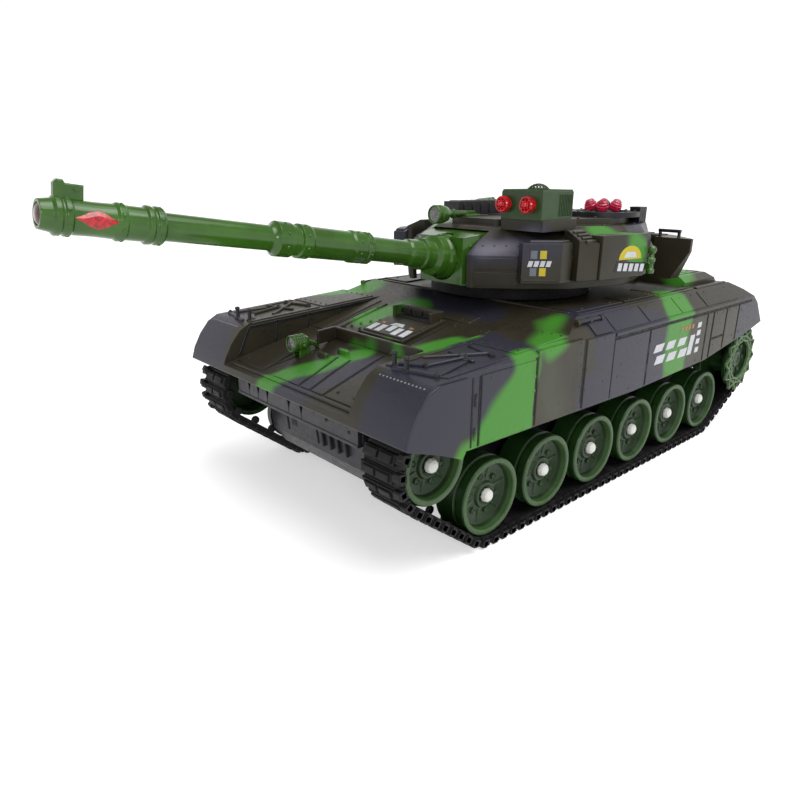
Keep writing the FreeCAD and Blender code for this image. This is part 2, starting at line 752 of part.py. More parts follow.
def make_turret_drive():
    ring = gear_solid("ring_teeth_solid", D.ring_teeth, PINION_AT)
    place(ring, 0, 0, D.gear_low_z)
    body = new_body("turntable")
    hole = 24.0
    collar = D.collar_radius
    neck = D.deck_hole - 0.5
    low = D.gear_low_z
    deck = D.deck_z + 0.5
    top = D.turret_low_z - 0.2
    profile = [(hole, low - 1), (28.0, low - 1), (28.0, low + D.gear_thick),
               (neck, low + D.gear_thick + 1.5), (neck, deck), (collar, deck), (collar, top), (hole, top)]
    turned(body, "XZ", profile, "V_Axis")
    place(body)
    whole = fuse("turret_ring_solid", [body, ring])
    keep("turret_ring", cut("turret_ring", whole, rod("ring_hole", hole, 30, (0, 0, D.gear_low_z - 5))))
    reach = D.gear_module * (D.ring_teeth + D.pinion_teeth) / 2 + 0.1
    gap_angle = math.pi / D.pinion_teeth.value
    pinion = gear_solid("pinion_teeth_solid", D.pinion_teeth, -math.pi / 2 + gap_angle)
    place(pinion, 0, reach, D.gear_low_z)
    stub = rod("pinion_stub", 1.5, 12, (0, reach, D.gear_low_z - 8))
    keep("turret_pinion", fuse("turret_pinion", [pinion, stub]))
    case = rod("turret_motor_case", 9.0, 22.0, (0, reach, D.gear_low_z - 26))
    socket = rod("turret_motor_bore", 1.5 + D.shaft_play, 10, (0, reach, D.gear_low_z - 9))
    keep("turret_motor", cut("turret_motor", case, socket))


# ---------------------------------------------------------------- turret

TURRET_LEVELS = [
    ("turret_low_z",
     [(20.0, -51.5), (36.0, -36.5), (50.0, -20.0), (57.0, 2.0), (58.5, 13.0), (54.0, 28.0), (44.0, 56.0)]),
    ("turret_crease_z",
     [(21.0, -52.5), (37.5, -37.5), (51.5, -20.5), (59.0, 2.0), (62.0, 16.0), (60.0, 34.0), (46.0, 56.0)]),
    ("turret_roof_z",
     [(15.0, -37.0), (26.0, -27.0), (36.0, -12.0), (43.0, 5.0), (50.0, 20.0), (49.0, 36.0), (42.0, 55.0)]),
]
ROOF_CROWN = [(13.0, -30.0), (21.0, -22.0), (29.0, -8.0), (35.0, 6.0), (41.0, 20.0), (41.0, 36.0),
              (36.0, 51.0)]
ROOF_CROWN_Z = 120.0


def turret_block(name, wall):
    """The faceted turret form, or with a wall the space inside it."""
    sections = []
    for i, (cell, half) in enumerate(TURRET_LEVELS):
        sketch = doc.addObject("Sketcher::SketchObject", f"{name}_level_{i}")
        grow = 1.0 if wall is None else 0.95
        draw_outline(sketch, mirrored_outline([(as_size(x) * grow, as_size(y) * grow) for x, y in half]))
        z = getattr(D, cell)
        if wall is not None:
            z = z - (wall if i == 2 else 0) - (1.0 if i == 0 else 0)
        place(sketch, 0, 0, z)
        sections.append(sketch)
    made = doc.addObject("Part::Loft", name)
    made.Sections = sections
    made.Solid = True
    made.Ruled = True
    return made


def make_turret_shell():
    outer = turret_block("turret_outer", None)
    inner = turret_block("turret_inner", D.turret_wall)
    panels = []
    for side, sign in SIDES.items():
        body = new_body(f"side_panel_{side}")
        plan = [(sign * 52.0, -11.4), (sign * 59.2, -11.4), (sign * 63.4, 17.0), (sign * 60.0, 28.0),
                (sign * 52.0, 20.0)]
        slab(body, "XY", plan, 19.0, offset=95.5)
        panels.append(place(body))
    crown = new_body("roof_crown")
    slab(crown, "XY", mirrored_outline(ROOF_CROWN), ROOF_CROWN_Z - 116.0, offset=116.0)
    panels.append(place(crown))
    form = fuse("turret_form", [outer] + panels)
    hollow = cut("turret_hollow", form, inner)
    gun_slot = box("gun_slot", (-17.3, 17.3), (-62.0, -34.0), (90.0, 115.4))
    keep("turret_shell", cut("turret_shell", hollow, gun_slot))
    return form


def make_mantlet_shield():
    body = new_body("mantlet_shield")
    plan = mirrored_outline([(13.5, -50.5), (17.0, -44.0), (17.0, -38.0)])
    slab(body, "XY", plan, 23.0, offset=91.8)
    place(body)
    slope = new_body("shield_slope")
    slab(slope, "YZ", [(-52.0, 112.4), (-37.0, 114.9), (-37.0, 118.0), (-52.0, 118.0)], 60, symmetric=True)
    socket = ball("shield_socket", D.ball_radius + 0.4, (0, D.trunnion_y, D.trunnion_z))
    spot = (-12.0, D.trunnion_y, D.trunnion_z)
    bearing = rod("shield_bearing", D.trunnion_radius + D.shaft_play, 24.0, spot, "X")
    back = box("shield_back", (-8.0, 8.0), (D.trunnion_y, -37.0), (96.0, 111.0))
    tools = fuse("shield_tools", [place(slope), socket, bearing, back])
    keep("mantlet_shield", cut("mantlet_shield", body, tools))


def make_cheek_boxes(form):
    for side, sign in SIDES.items():
        body = new_body(f"cheek_box_{side}")
        plan = [(sign * 41.0, -43.4), (sign * 52.0, -30.6), (sign * 52.0, -23.0), (sign * 36.0, -39.6)]
        slab(body, "XY", plan, 17.0, offset=95.0)
        keep(f"cheek_box_{side}", cut(f"cheek_box_{side}", place(body), form))
        body = new_body(f"louvre_box_{side}")
        plan = [(sign * 54.6, -22.2), (sign * 58.2, -11.9), (sign * 46.0, -8.0), (sign * 44.0, -18.8)]
        slab(body, "XY", plan, 21.0, offset=95.5)
        slope = [(sign * 60.0, 110.5), (sign * 60.0, 118.0), (sign * 43.0, 118.0)]
        slab(body, "XZ", slope, 60.0, kind="Pocket", symmetric=True)
        keep(f"louvre_box_{side}", cut(f"louvre_box_{side}", place(body), form))


def make_rear_bin():
    body = new_body("rear_bin_form")
    plan = mirrored_outline([(68.8, 50.6), (68.8, 52.6), (50.0, 69.0)])
    slab(body, "XY", plan, 20.0, offset=90.5)
    for sign in (1, -1):
        corner = [(sign * 60.0, 90.0), (sign * 70.0, 90.0), (sign * 70.0, 104.5), (sign * 68.8, 104.5)]
        slab(body, "XZ", corner, 320, kind="Pocket", symmetric=True)
    place(body)
    seat = box("bin_turret_seat", (-50.0, 50.0), (40.0, 56.4), (88.0, 112.0))
    hollow = box("bin_hollow", (-47.0, 47.0), (58.4, 66.4), (92.4, 112.0))
    rebate = box("bin_lid_seat", (-49.0, 49.0), (57.6, 67.2), (109.2, 112.0))
    bin_form = cut("bin_form", body, fuse("bin_tools", [seat, hollow, rebate]))
    bars = []
    for side, sign in SIDES.items():
        start = 49.6 if sign > 0 else -61.0
        bars.append(rod(f"grab_bar_{side}", 0.8, 11.4, (start, 55.0, 113.4), "X"))
        for i, x in enumerate((start + 0.8, start + 10.6)):
            bars.append(rod(f"grab_leg_{side}_{i}", 0.8, 3.4, (x, 55.0, 110.0)))
    keep("rear_bin", fuse("rear_bin", [bin_form] + bars))
    keep("bin_lid", box("bin_lid", (-48.7, 48.7), (57.9, 66.9), (109.3, 111.0)))


SIGHT_LENS_X = (22.1, 35.3)
HATCH_AT = (27.5, 37.0)


def make_roof_fittings(form):
    roof = ROOF_CROWN_Z
    base = box("sight_base", (20.0, 43.0), (-33.0, -8.6), (D.turret_roof_z - 1.5, roof + 1.0))
    head = box("sight_head", (19.6, 41.8), (-33.0, -10.7), (roof + 0.5, roof + 12.8))
    dome = ball("sight_dome", 6.0, (31.0, -22.0, roof + 9.3))
    wells = [rod(f"sight_well_{i}", 3.9, 3.0, (x, -34.0, roof + 7), "Y") for i, x in enumerate(SIGHT_LENS_X)]
    sight = cut("sight_form", fuse("sight_solid", [base, head, dome]), fuse("sight_wells", wells))
    keep("sight_box", cut("sight_box", sight, form))
    lenses = []
    for i, x in enumerate(SIGHT_LENS_X):
        tube = rod(f"lens_tube_{i}", 3.6, 3.0, (x, -34.4, roof + 7), "Y")
        cap = ball(f"lens_cap_{i}", 3.4, (x, -34.4, roof + 7))
        lenses.append(fuse(f"sight_lens_{i}", [tube, cap]))
    keep("sight_lenses", group("sight_lenses", lenses))
    lamp_z = 121.5
    lamp_x = -10.0
    can = rod("search_can", 4.3, 9.6, (lamp_x, -46.0, lamp_z), "Y")
    arm = box("search_arm", (lamp_x - 1.4, lamp_x + 1.4), (-38.0, -16.0), (roof + 0.2, roof + 2.8))
    foot = box("search_foot", (lamp_x - 2.5, lamp_x + 2.5), (-26.0, -16.0), (roof, roof + 1.5))
    well = rod("search_well", 3.5, 1.8, (lamp_x, -46.5, lamp_z), "Y")
    keep("searchlight", cut("searchlight", fuse("search_solid", [can, arm, foot]), well))
    keep("searchlight_lens", rod("searchlight_lens", 3.45, 1.4, (lamp_x, -46.2, lamp_z), "Y"))
    body = new_body("roof_box")
    profile = [(-14.0, roof), (-23.0, roof + 2.2), (-23.0, roof + 6.6), (26.0, roof + 6.6), (28.0, roof)]
    slab(body, "YZ", profile, 10.0, offset=-26.0)
    keep("roof_box", place(body))
    hatch_x, hatch_y = HATCH_AT
    ring = rod("hatch_disc", 18.0, 2.4, (hatch_x, hatch_y, roof))
    knob = box("vision_knob", (37.0, 43.0), (46.0, 52.5), (D.turret_roof_z - 1.5, roof + 4.5))
    well = rod("hatch_well", 13.5, 3.0, (hatch_x, hatch_y, roof + 1))
    lid = cut("hatch_lid_form", fuse("hatch_solid", [ring, knob]), well)
    keep("hatch_ring", cut("hatch_ring", lid, form))
    hub = rod("beacon_stem", 3.4, 6.4, (hatch_x, hatch_y, roof + 1.05))
    plate = rod("beacon_plate", 8.0, 1.6, (hatch_x, hatch_y, roof + 1.4))
    keep("beacon_hub", fuse("beacon_hub", [hub, plate]))
    lamps = []
    for i in range(6):
        angle = math.radians(60 * i)
        spot = (hatch_x + 6.4 * math.cos(angle), hatch_y + 6.4 * math.sin(angle), roof + 5.8)
        lamps.append(ball(f"beacon_lamp_{i}", 2.7, spot))
    keep("beacon_lamps", group("beacon_lamps", lamps))
    for side, sign in SIDES.items():
        low = 62.6
        span = (low, low + 4.4) if sign > 0 else (-low - 4.4, -low)
        starts = (low, low + 2.8) if sign > 0 else (-low - 4.4, -low - 1.6)
        pieces = [box(f"bracket_stem_{side}", span, (19.0, 24.0), (96.5, 103.0))]
        for i, x in enumerate(starts):
            pieces.append(box(f"bracket_ear_{side}_{i}", (x, x + 1.6), (19.0, 24.0), (102.0, 109.0)))
        tool = fuse(f"bracket_tool_{side}", [form, NODES[f"louvre_box_{side}"]])
        keep(f"side_bracket_{side}", cut(f"side_bracket_{side}", fuse(f"bracket_form_{side}", pieces), tool))


# ---------------------------------------------------------------- gun

# (distance along the gun from its pivot, radius)
BARREL_STEPS = [(-4.0, 5.5), (25.0, 5.8), (25.0, 5.0), (47.0, 5.0), (47.0, 6.5), (57.0, 6.5), (57.0, 6.35),
                (77.0, 6.35), (77.0, 6.5), (82.0, 6.5), (82.0, 5.6), (85.0, 5.6), (85.0, 6.5), (92.0, 6.5),
                (92.0, 4.6), (134.0, 4.6), (134.0, 6.2), (140.0, 6.2), (140.0, 5.4), (146.0, 5.4),
                (146.0, 6.0), (149.0, 5.3), (163.0, 5.3)]


def make_gun():
    tilt = Rotation(Vector(1, 0, 0), -CELLS["gun_rise"])
    body = new_body("gun_barrel_form")
    steps = [(s, r) for s, r in BARREL_STEPS]
    steps += [(164.0, 5.6), (166.0, 5.6), (167.0, 4.6), (as_size(D.muzzle_reach) - 1.0, 4.45)]
    profile = [(0, steps[0][0])] + [(r, s) for s, r in steps] + [(0, D.muzzle_reach - 1.0)]
    profile = [(x, as_size(s) * -1) for x, s in profile]
    turned(body, "XY", profile, "V_Axis")
    place(body, 0, D.trunnion_y, D.trunnion_z, turn=tilt)
    knob = ball("mantlet_ball", D.ball_radius, (0, D.trunnion_y, D.trunnion_z))
    pins = rod("trunnion", D.trunnion_radius, 23.0, (-11.5, D.trunnion_y, D.trunnion_z), "X")
    sight = new_body("muzzle_sight")
    slab(sight, "YZ", [(-166.0, 4.4), (-158.0, 4.4), (-158.0, 10.6), (-166.0, 10.6)], 3.0, symmetric=True)
    place(sight, 0, D.trunnion_y, D.trunnion_z, turn=tilt)
    keep("gun_barrel", fuse("gun_barrel", [body, knob, pins, sight]))
    lens = new_body("muzzle_lens")
    turned(lens, "XY", [(0, -D.muzzle_reach), (3.4, -D.muzzle_reach), (4.4, -D.muzzle_reach + 0.9),
                        (4.4, -D.muzzle_reach + 1.0), (0, -D.muzzle_reach + 1.0)], "V_Axis")
    keep("muzzle_lens", place(lens, 0, D.trunnion_y, D.trunnion_z, turn=tilt))
    lamps = []
    for sign in (1, -1):
        lamp = new_body("muzzle_lamp")
        diamond = [(-162.0, 0), (-155.0, 3.0), (-148.0, 0), (-155.0, -3.0)]
        slab(lamp, "YZ", diamond, 1.3, offset=sign * 4.6, backward=sign < 0)
        lamps.append(place(lamp, 0, D.trunnion_y, D.trunnion_z, turn=tilt))
    barrel = NODES["gun_barrel"]
    lamp_set = group("muzzle_side_lamps", lamps)
    keep("muzzle_side_lamps", lamp_set)
    keep("gun_barrel", cut("gun_barrel_cut", barrel, lamp_set))


def check_and_export():
    doc.recompute()
    for thing in doc.Objects:
        bad = {"Invalid", "Error"} & set(thing.State)
        if bad:
            raise RuntimeError(f"{thing.Name} is {bad}")
    os.makedirs("parts", exist_ok=True)
    for node, thing in NODES.items():
        shape = thing.Shape
        if shape.isNull() or not shape.isValid() or not shape.Solids:
            raise RuntimeError(f"{node} has no valid solid")
        shape.exportStep(os.path.join("parts", f"{node}.step"))
        print(f"{node:22s} solids {len(shape.Solids)} volume {shape.Volume:9.1f}")
    print(len(NODES), "nodes")


make_upper_hull()
make_lower_hull()
make_battery()
make_power_switch()
make_electrics()
make_drive()
make_screws()
make_front_fittings()
make_engine_deck()
make_tracks()
make_wheels()
make_axle_pins()
make_sprockets()
make_turret_drive()
turret_form = make_turret_shell()
make_mantlet_shield()
make_cheek_boxes(turret_form)
make_rear_bin()
make_roof_fittings(turret_form)
make_gun()
check_and_export()
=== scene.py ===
import json
import math

import bmesh
import bpy
from mathutils import Matrix, Vector


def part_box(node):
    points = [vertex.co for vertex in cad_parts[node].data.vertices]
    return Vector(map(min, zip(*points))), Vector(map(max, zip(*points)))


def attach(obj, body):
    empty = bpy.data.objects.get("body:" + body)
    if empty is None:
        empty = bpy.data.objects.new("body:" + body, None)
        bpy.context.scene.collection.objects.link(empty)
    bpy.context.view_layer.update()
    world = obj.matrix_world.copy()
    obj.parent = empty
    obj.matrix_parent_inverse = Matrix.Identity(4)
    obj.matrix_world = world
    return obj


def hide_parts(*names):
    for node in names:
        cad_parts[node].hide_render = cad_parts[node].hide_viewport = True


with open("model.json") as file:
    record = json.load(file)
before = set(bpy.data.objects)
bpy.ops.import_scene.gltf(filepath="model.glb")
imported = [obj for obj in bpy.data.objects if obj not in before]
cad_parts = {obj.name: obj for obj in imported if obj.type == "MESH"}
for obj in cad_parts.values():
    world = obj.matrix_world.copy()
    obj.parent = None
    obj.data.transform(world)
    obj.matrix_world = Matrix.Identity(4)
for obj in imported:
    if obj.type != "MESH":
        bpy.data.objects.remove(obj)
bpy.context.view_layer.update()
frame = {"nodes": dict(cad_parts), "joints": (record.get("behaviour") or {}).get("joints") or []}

# Everything is modelled in millimetres around the turret's axis: +X is the tank's left side, y is the
# distance behind the axis, z the height over the ground. TO_FRAME turns that into the frame's metres.
NODES = frame["nodes"]
JOINTS = {joint["name"]: joint for joint in frame["joints"]}
MM = 0.001
AXIS_Y = JOINTS["turret_traverse"]["pos_m"][1] / MM
TO_FRAME = Matrix.Translation((0, AXIS_Y * MM, 0)) @ Matrix.Scale(MM, 4)
SIDES = {"left": 1, "right": -1}
UP = Vector((0, 0, 1))
ROUND_FROM = math.radians(28)


def limits(node):
    """A node's lowest and highest corner in the modelling millimetres."""
    back = TO_FRAME.inverted()
    low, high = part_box(node)
    return back @ low, back @ high


# ---------------------------------------------------------------- mesh building

def skin(bm, rings, materials=0, closed=False):
    """Faces between rings of points. A ring of one point is a tip, and an open end gets a cap."""
    made = [[bm.verts.new(point) for point in ring] for ring in rings]
    pairs = list(zip(made, made[1:])) + ([(made[-1], made[0])] if closed else [])
    for band, (low, high) in enumerate(pairs):
        index = materials[band] if isinstance(materials, list) else materials
        for i in range(max(len(low), len(high))):
            j = i + 1
            corners = [low[i % len(low)], low[j % len(low)], high[j % len(high)], high[i % len(high)]]
            corners = list(dict.fromkeys(corners))
            if len(corners) > 2:
                bm.faces.new(corners).material_index = index
    if not closed:
        for end, index in ((made[0], 0), (made[-1], -1)):
            if len(end) > 2:
                face = bm.faces.new(end)
                face.material_index = materials[index] if isinstance(materials, list) else materials


def inset(outline, normal, distance):
    """A flat outline drawn in by a distance."""
    area = sum((a.cross(b) for a, b in zip(outline, outline[1:] + outline[:1])), Vector())
    turn = 1 if area.dot(normal) > 0 else -1
    moved = []
    for before, point, after in zip(outline[-1:] + outline[:-1], outline, outline[1:] + outline[:1]):
        first = normal.cross((point - before).normalized()) * turn
        second = normal.cross((after - point).normalized()) * turn
        moved.append(point + (first + second) * (distance / (1 + first.dot(second))))
    return moved


def prism(bm, outline, depth, chamfer=0.0, material=0):
    """A solid from a flat outline pushed along depth; a chamfer narrows its far face."""
    outline = [Vector(point) for point in outline]
    rings = [outline]
    normal = depth.normalized()
    if chamfer:
        rings.append([point + depth - normal * chamfer for point in outline])
    rings.append([point + depth for point in (inset(outline, normal, chamfer) if chamfer else outline)])
    skin(bm, rings, material)


def block(bm, low, high, chamfer=0.0, material=0):
    """A box between two corners, chamfered round its top."""
    x, y, z = low
    base = [(x, y, z), (high[0], y, z), (high[0], high[1], z), (x, high[1], z)]
    prism(bm, base, Vector((0, 0, high[2] - z)), chamfer, material)


def flat(angle):
    """The level direction at an angle from +X."""
    return Vector((math.cos(angle), math.sin(angle), 0))


def upright(angle):
    """The direction at an angle from +Y in the upright plane that the wheels turn in."""
    return Vector((0, math.cos(angle), math.sin(angle)))


def across(axis):
    """Two directions square to an axis."""
    axis = Vector(axis).normalized()
    first = axis.cross(UP if abs(axis.z) < 0.9 else Vector((1, 0, 0))).normalized()
    return first, axis.cross(first)


def lathe(bm, profile, origin, axis, segments=48, materials=0, closed=False):
    """A solid of revolution from pairs of (distance along the axis, radius)."""
    origin, axis = Vector(origin), Vector(axis).normalized()
    u, v = across(axis)
    rings = []
    for along, radius in profile:
        middle = origin + axis * along
        if radius < 1e-6:
            rings.append([middle])
            continue
        turn = [2 * math.pi * i / segments for i in range(segments)]
        rings.append([middle + (u * math.cos(a) + v * math.sin(a)) * radius for a in turn])
    skin(bm, rings, materials, closed)


def rod(bm, half, radius, origin, axis, segments):
    """A plain pin that reaches half its length both ways from its middle."""
    lathe(bm, [(-half, 0), (-half, radius), (half, radius), (half, 0)], origin, axis, segments)


def stud(bm, point, normal, radius=0.75, height=0.5):
    """A domed rivet standing on a surface."""
    profile = [(-0.3, radius), (0, radius), (height * 0.7, radius * 0.72), (height, 0)]
    lathe(bm, profile, point, normal, 8)


def tube(bm, points, radius, segments=10):
    """A round bar along a path."""
    points = [Vector(point) for point in points]
    rings = []
    u = None
    for i, point in enumerate(points):
        ahead = points[min(i + 1, len(points) - 1)] - points[max(i - 1, 0)]
        axis = ahead.normalized()
        u = across(axis)[0] if u is None else (u - axis * u.dot(axis)).normalized()
        v = axis.cross(u)
        turn = [2 * math.pi * k / segments for k in range(segments)]
        rings.append([point + (u * math.cos(a) + v * math.sin(a)) * radius for a in turn])
    skin(bm, rings)


def shape_of(node):
    """A node's mesh as clean flat faces, in the modelling millimetres."""
    bm = bmesh.new()
    bm.from_mesh(NODES[node].data)
    bm.transform(TO_FRAME.inverted())
    bmesh.ops.remove_doubles(bm, verts=bm.verts, dist=0.002)
    for face in bm.faces:
        face.material_index = 0
    bmesh.ops.dissolve_limit(bm, angle_limit=math.radians(1.0), verts=bm.verts, edges=bm.edges)
    return bm


def piece(name, bm, materials, body, rounding=0.0, replaces=()):
    """Turns a finished shape into an object that rides on a body."""
    bmesh.ops.recalc_face_normals(bm, faces=bm.faces)
    bm.transform(TO_FRAME)
    mesh = bpy.data.meshes.new(name)
    bm.to_mesh(mesh)
    bm.free()
    mesh.polygons.foreach_set("use_smooth", [True] * len(mesh.polygons))
    for material in materials if isinstance(materials, list) else [materials]:
        mesh.materials.append(material)
    thing = bpy.data.objects.new(name, mesh)
    bpy.context.scene.collection.objects.link(thing)
    if rounding:
        bevel = thing.modifiers.new("rounding", "BEVEL")
        bevel.width = rounding * MM
        bevel.segments = 2
        bevel.limit_method = "ANGLE"
        bevel.angle_limit = ROUND_FROM
        bevel.use_clamp_overlap = True
        weigh = thing.modifiers.new("normals", "WEIGHTED_NORMAL")
        weigh.weight = 60
    else:
        mesh.set_sharp_from_angle(angle=ROUND_FROM)
    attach(thing, body)
    if replaces:
        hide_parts(*replaces)


# ---------------------------------------------------------------- surfaces that details stand on

HULL = 75.0
DECK_Z = 84.0
CREASE_Z = 76.0
SHOULDER_IN = 9.0
GLACIS_Y, GLACIS_Z = -139.0, 58.8
GLACIS_RISE = (79.2 - 58.8) / (139.0 - 49.0)
FENDER_IN = 45.0


def skirt(sign):
    return lambda y, z, out=0.0: Vector((sign * (HULL + out), y, z))


def shoulder(sign):
    run = Vector((-SHOULDER_IN * sign, 0, DECK_Z - CREASE_Z)).normalized()
    normal = Vector((run.z * sign, 0, abs(run.x)))
    return lambda y, up, out=0.0: Vector((HULL * sign, y, CREASE_Z)) + run * up + normal * out


def level(z):
    return lambda x, y, out=0.0: Vector((x, y, z + out))


def glacis(x, y, out=0.0):
    normal = Vector((0, -GLACIS_RISE, 1)).normalized()
    return Vector((x, y, GLACIS_Z + GLACIS_RISE * (y - GLACIS_Y))) + normal * out


FENDER_LINE = [(-126.5, 75.2), (-49.0, 79.2)]


def fender_top(x, y, out=0.0):
    (y0, z0), (y1, z1) = FENDER_LINE
    return Vector((x, y, z0 + (z1 - z0) * (y - y0) / (y1 - y0) + out))


def plate(bm, surface, outline, height, chamfer=0.0, sink=0.4):
    """A raised panel whose outline lies on a surface."""
    low = [surface(a, b, -sink) for a, b in outline]
    a, b = outline[0]
    prism(bm, low, surface(a, b, height) - low[0], chamfer)


def ridge(bm, surface, start, end, width, height, chamfer=0.0):
    """A straight raised strip between two places on a surface."""
    (a0, b0), (a1, b1) = start, end
    run = math.hypot(a1 - a0, b1 - b0)
    da, db = -(b1 - b0) / run * width / 2, (a1 - a0) / run * width / 2
    outline = [(a0 + da, b0 + db), (a0 - da, b0 - db), (a1 - da, b1 - db), (a1 + da, b1 + db)]
    plate(bm, surface, outline, height, chamfer)


def oblong(a0, b0, a1, b1):
    """An outline with square corners."""
    return [(a0, b0), (a1, b0), (a1, b1), (a0, b1)]


def slanted(a, b, wide, tall, lean):
    """An outline with level edges and leaning sides."""
    return [(a, b), (a + wide, b), (a + wide + lean, b + tall), (a + lean, b + tall)]


def raised(surface, by):
    """The same surface, moved outwards."""
    return lambda a, b, out=0.0: surface(a, b, by + out)


def sticker(name, tone, surface, outlines, body="root", slot="hull_camouflage", lift=0.1):
    label = bmesh.new()
    for outline in outlines:
        plate(label, surface, outline, lift, sink=0.1)
    piece(name, label, tone, body)


def studs(bm, surface, places, radius=0.75, height=0.45):
    for a, b in places:
        foot = surface(a, b)
        stud(bm, foot, surface(a, b, 1.0) - foot, radius, height)


def mirrored(sign, places):
    """Places on one side of the tank, from places on its left side."""
    return [(sign * a, b) for a, b in places]


def row(start, end, count):
    """Evenly spaced places from start to end."""
    steps = [i / (count - 1) for i in range(count)]
    return [(start[0] + (end[0] - start[0]) * t, start[1] + (end[1] - start[1]) * t) for t in steps]


# ---------------------------------------------------------------- materials

class Nodes:
    """Short names for the nodes of a tree."""

    def __init__(self, tree):
        self.nodes = tree.nodes
        self.links = tree.links

    def node(self, kind, inputs=(), **settings):
        made = self.nodes.new(kind)
        for key, value in settings.items():
            setattr(made, key, value)
        for key, value in dict(inputs).items():
            self.feed(made.inputs[key], value)
        return made

    def feed(self, socket, value):
        if isinstance(value, bpy.types.NodeSocket):
            self.links.new(value, socket)
        else:
            socket.default_value = value

    def math(self, operation, a, b, clamp=False):
        return self.node("ShaderNodeMath", {0: a, 1: b}, operation=operation, use_clamp=clamp).outputs[0]

    def vector(self, operation, a, b, output=0):
        return self.node("ShaderNodeVectorMath", {0: a, 1: b}, operation=operation).outputs[output]

    def span(self, value, low, high, to_low=0.0, to_high=1.0):
        inputs = {"Value": value, "From Min": low, "From Max": high, "To Min": to_low, "To Max": to_high}
        return self.node("ShaderNodeMapRange", inputs, interpolation_type="SMOOTHSTEP").outputs["Result"]


class Shader(Nodes):
    """A material under construction."""

    def __init__(self, name):
        self.material = bpy.data.materials.new(name)
        self.material.use_nodes = True
        super().__init__(self.material.node_tree)
        self.bsdf = self.nodes["Principled BSDF"]
        self.place = self.node("ShaderNodeTexCoord").outputs["Object"]

    def mix(self, factor, a, b):
        made = self.node("ShaderNodeMix", data_type="RGBA")
        self.feed(made.inputs[0], factor)
        self.feed(made.inputs[6], a)
        self.feed(made.inputs[7], b)
        return made.outputs[2]

    def noise(self, size_mm, detail=3.0, rough=0.5, output="Fac"):
        inputs = {"Vector": self.place, "Scale": 1.0 / (size_mm * MM), "Detail": detail, "Roughness": rough}
        return self.node("ShaderNodeTexNoise", inputs).outputs[output]

    def edges(self, radius_mm, strength=1.0):
        """1 along edges and 0 on flat faces."""
        soft = self.node("ShaderNodeBevel", {"Radius": radius_mm * MM}, samples=4).outputs["Normal"]
        flat = self.node("ShaderNodeNewGeometry").outputs["Normal"]
        return self.span(self.vector("DOT_PRODUCT", soft, flat, "Value"), 0.995, 0.86, 0.0, strength)

    def bump(self, height, depth_mm, strength=1.0):
        inputs = {"Height": height, "Distance": depth_mm * MM, "Strength": strength}
        made = self.node("ShaderNodeBump", inputs)
        self.feed(self.bsdf.inputs["Normal"], made.outputs["Normal"])

    def finish(self, **inputs):
        for key, value in inputs.items():
            self.feed(self.bsdf.inputs[key.replace("_", " ")], value)
        return self.material


UNDER_LIGHT = 0.40


def paint(red, green, blue, share=UNDER_LIGHT):
    """A colour from 0 to 255 as it looks under the bright studio light, as the shader's linear colour."""
    linear = []
    for value in (red, green, blue):
        value /= 255
        linear.append(share * (value / 12.92 if value <= 0.04045 else ((value + 0.055) / 1.055) ** 2.4))
    return (*linear, 1.0)


def shade(colour, by):
    return (*(min(1.0, c * by) for c in colour[:3]), 1.0)


def plastic(name, colour, rough=0.35, grain=0.02, tint=0.12, worn=None, coat=0.0, gloss=0.35):
    """Moulded plastic: uneven tint, a fine moulded grain, and paler rubbed edges."""
    s = Shader(name)
    cloud = s.noise(14.0, 4.0)
    base = s.mix(s.span(cloud, 0.3, 0.7), shade(colour, 1 - tint * 2), shade(colour, 1 + tint))
    fine = s.noise(0.35, 2.0)
    speck = s.noise(2.4, 5.0, 0.6)
    if worn:
        rub = s.math("MULTIPLY", s.edges(0.5), s.span(speck, 0.35, 0.6))
        base = s.mix(rub, base, worn)
    s.bump(fine, grain, 0.6)
    uneven = s.span(speck, 0.3, 0.75, rough * 0.8, rough * 1.25)
    return s.finish(Base_Color=base, Roughness=uneven, Coat_Weight=coat, Specular_IOR_Level=gloss)


BROWN = paint(72, 66, 50)
SLATE = paint(62, 61, 78)
# Painted highlight: a pale slate that stands in for the shine of light on the turret's front cheek.
PAINTED_HIGHLIGHT = paint(128, 124, 142)
LEAF = paint(88, 178, 56)
MOSS = paint(92, 98, 76)


def capsule_group():
    """A node group that gives 1 inside a soft-edged capsule between two points and 0 outside it."""
    group = bpy.data.node_groups.new("capsule", "ShaderNodeTree")
    for label, kind in (("Place", "Vector"), ("Start", "Vector"), ("Run", "Vector"), ("Radius", "Float"),
                        ("Soft", "Float")):
        group.interface.new_socket(label, in_out="INPUT", socket_type="NodeSocket" + kind)
    group.interface.new_socket("Mask", in_out="OUTPUT", socket_type="NodeSocketFloat")
    s = Nodes(group)
    source, sink = s.node("NodeGroupInput"), s.node("NodeGroupOutput")
    place, start, run, radius, soft = source.outputs[:5]
    away = s.vector("SUBTRACT", place, start)
    along = s.vector("DOT_PRODUCT", away, run, "Value")
    share = s.math("DIVIDE", along, s.vector("DOT_PRODUCT", run, run, "Value"), clamp=True)
    nearest = s.node("ShaderNodeVectorMath", {0: run, "Scale": share}, operation="SCALE").outputs[0]
    to_axis = s.node("ShaderNodeVectorMath", {0: s.vector("SUBTRACT", away, nearest)}, operation="LENGTH")
    inside, outside = s.math("SUBTRACT", radius, soft), s.math("ADD", radius, soft)
    s.feed(sink.inputs["Mask"], s.span(to_axis.outputs["Value"], inside, outside, 1.0, 0.0))
    return group


CAPSULE = capsule_group()


CAMOUFLAGE_WARP, CAMOUFLAGE_ROUGH = 7.0, 0.36


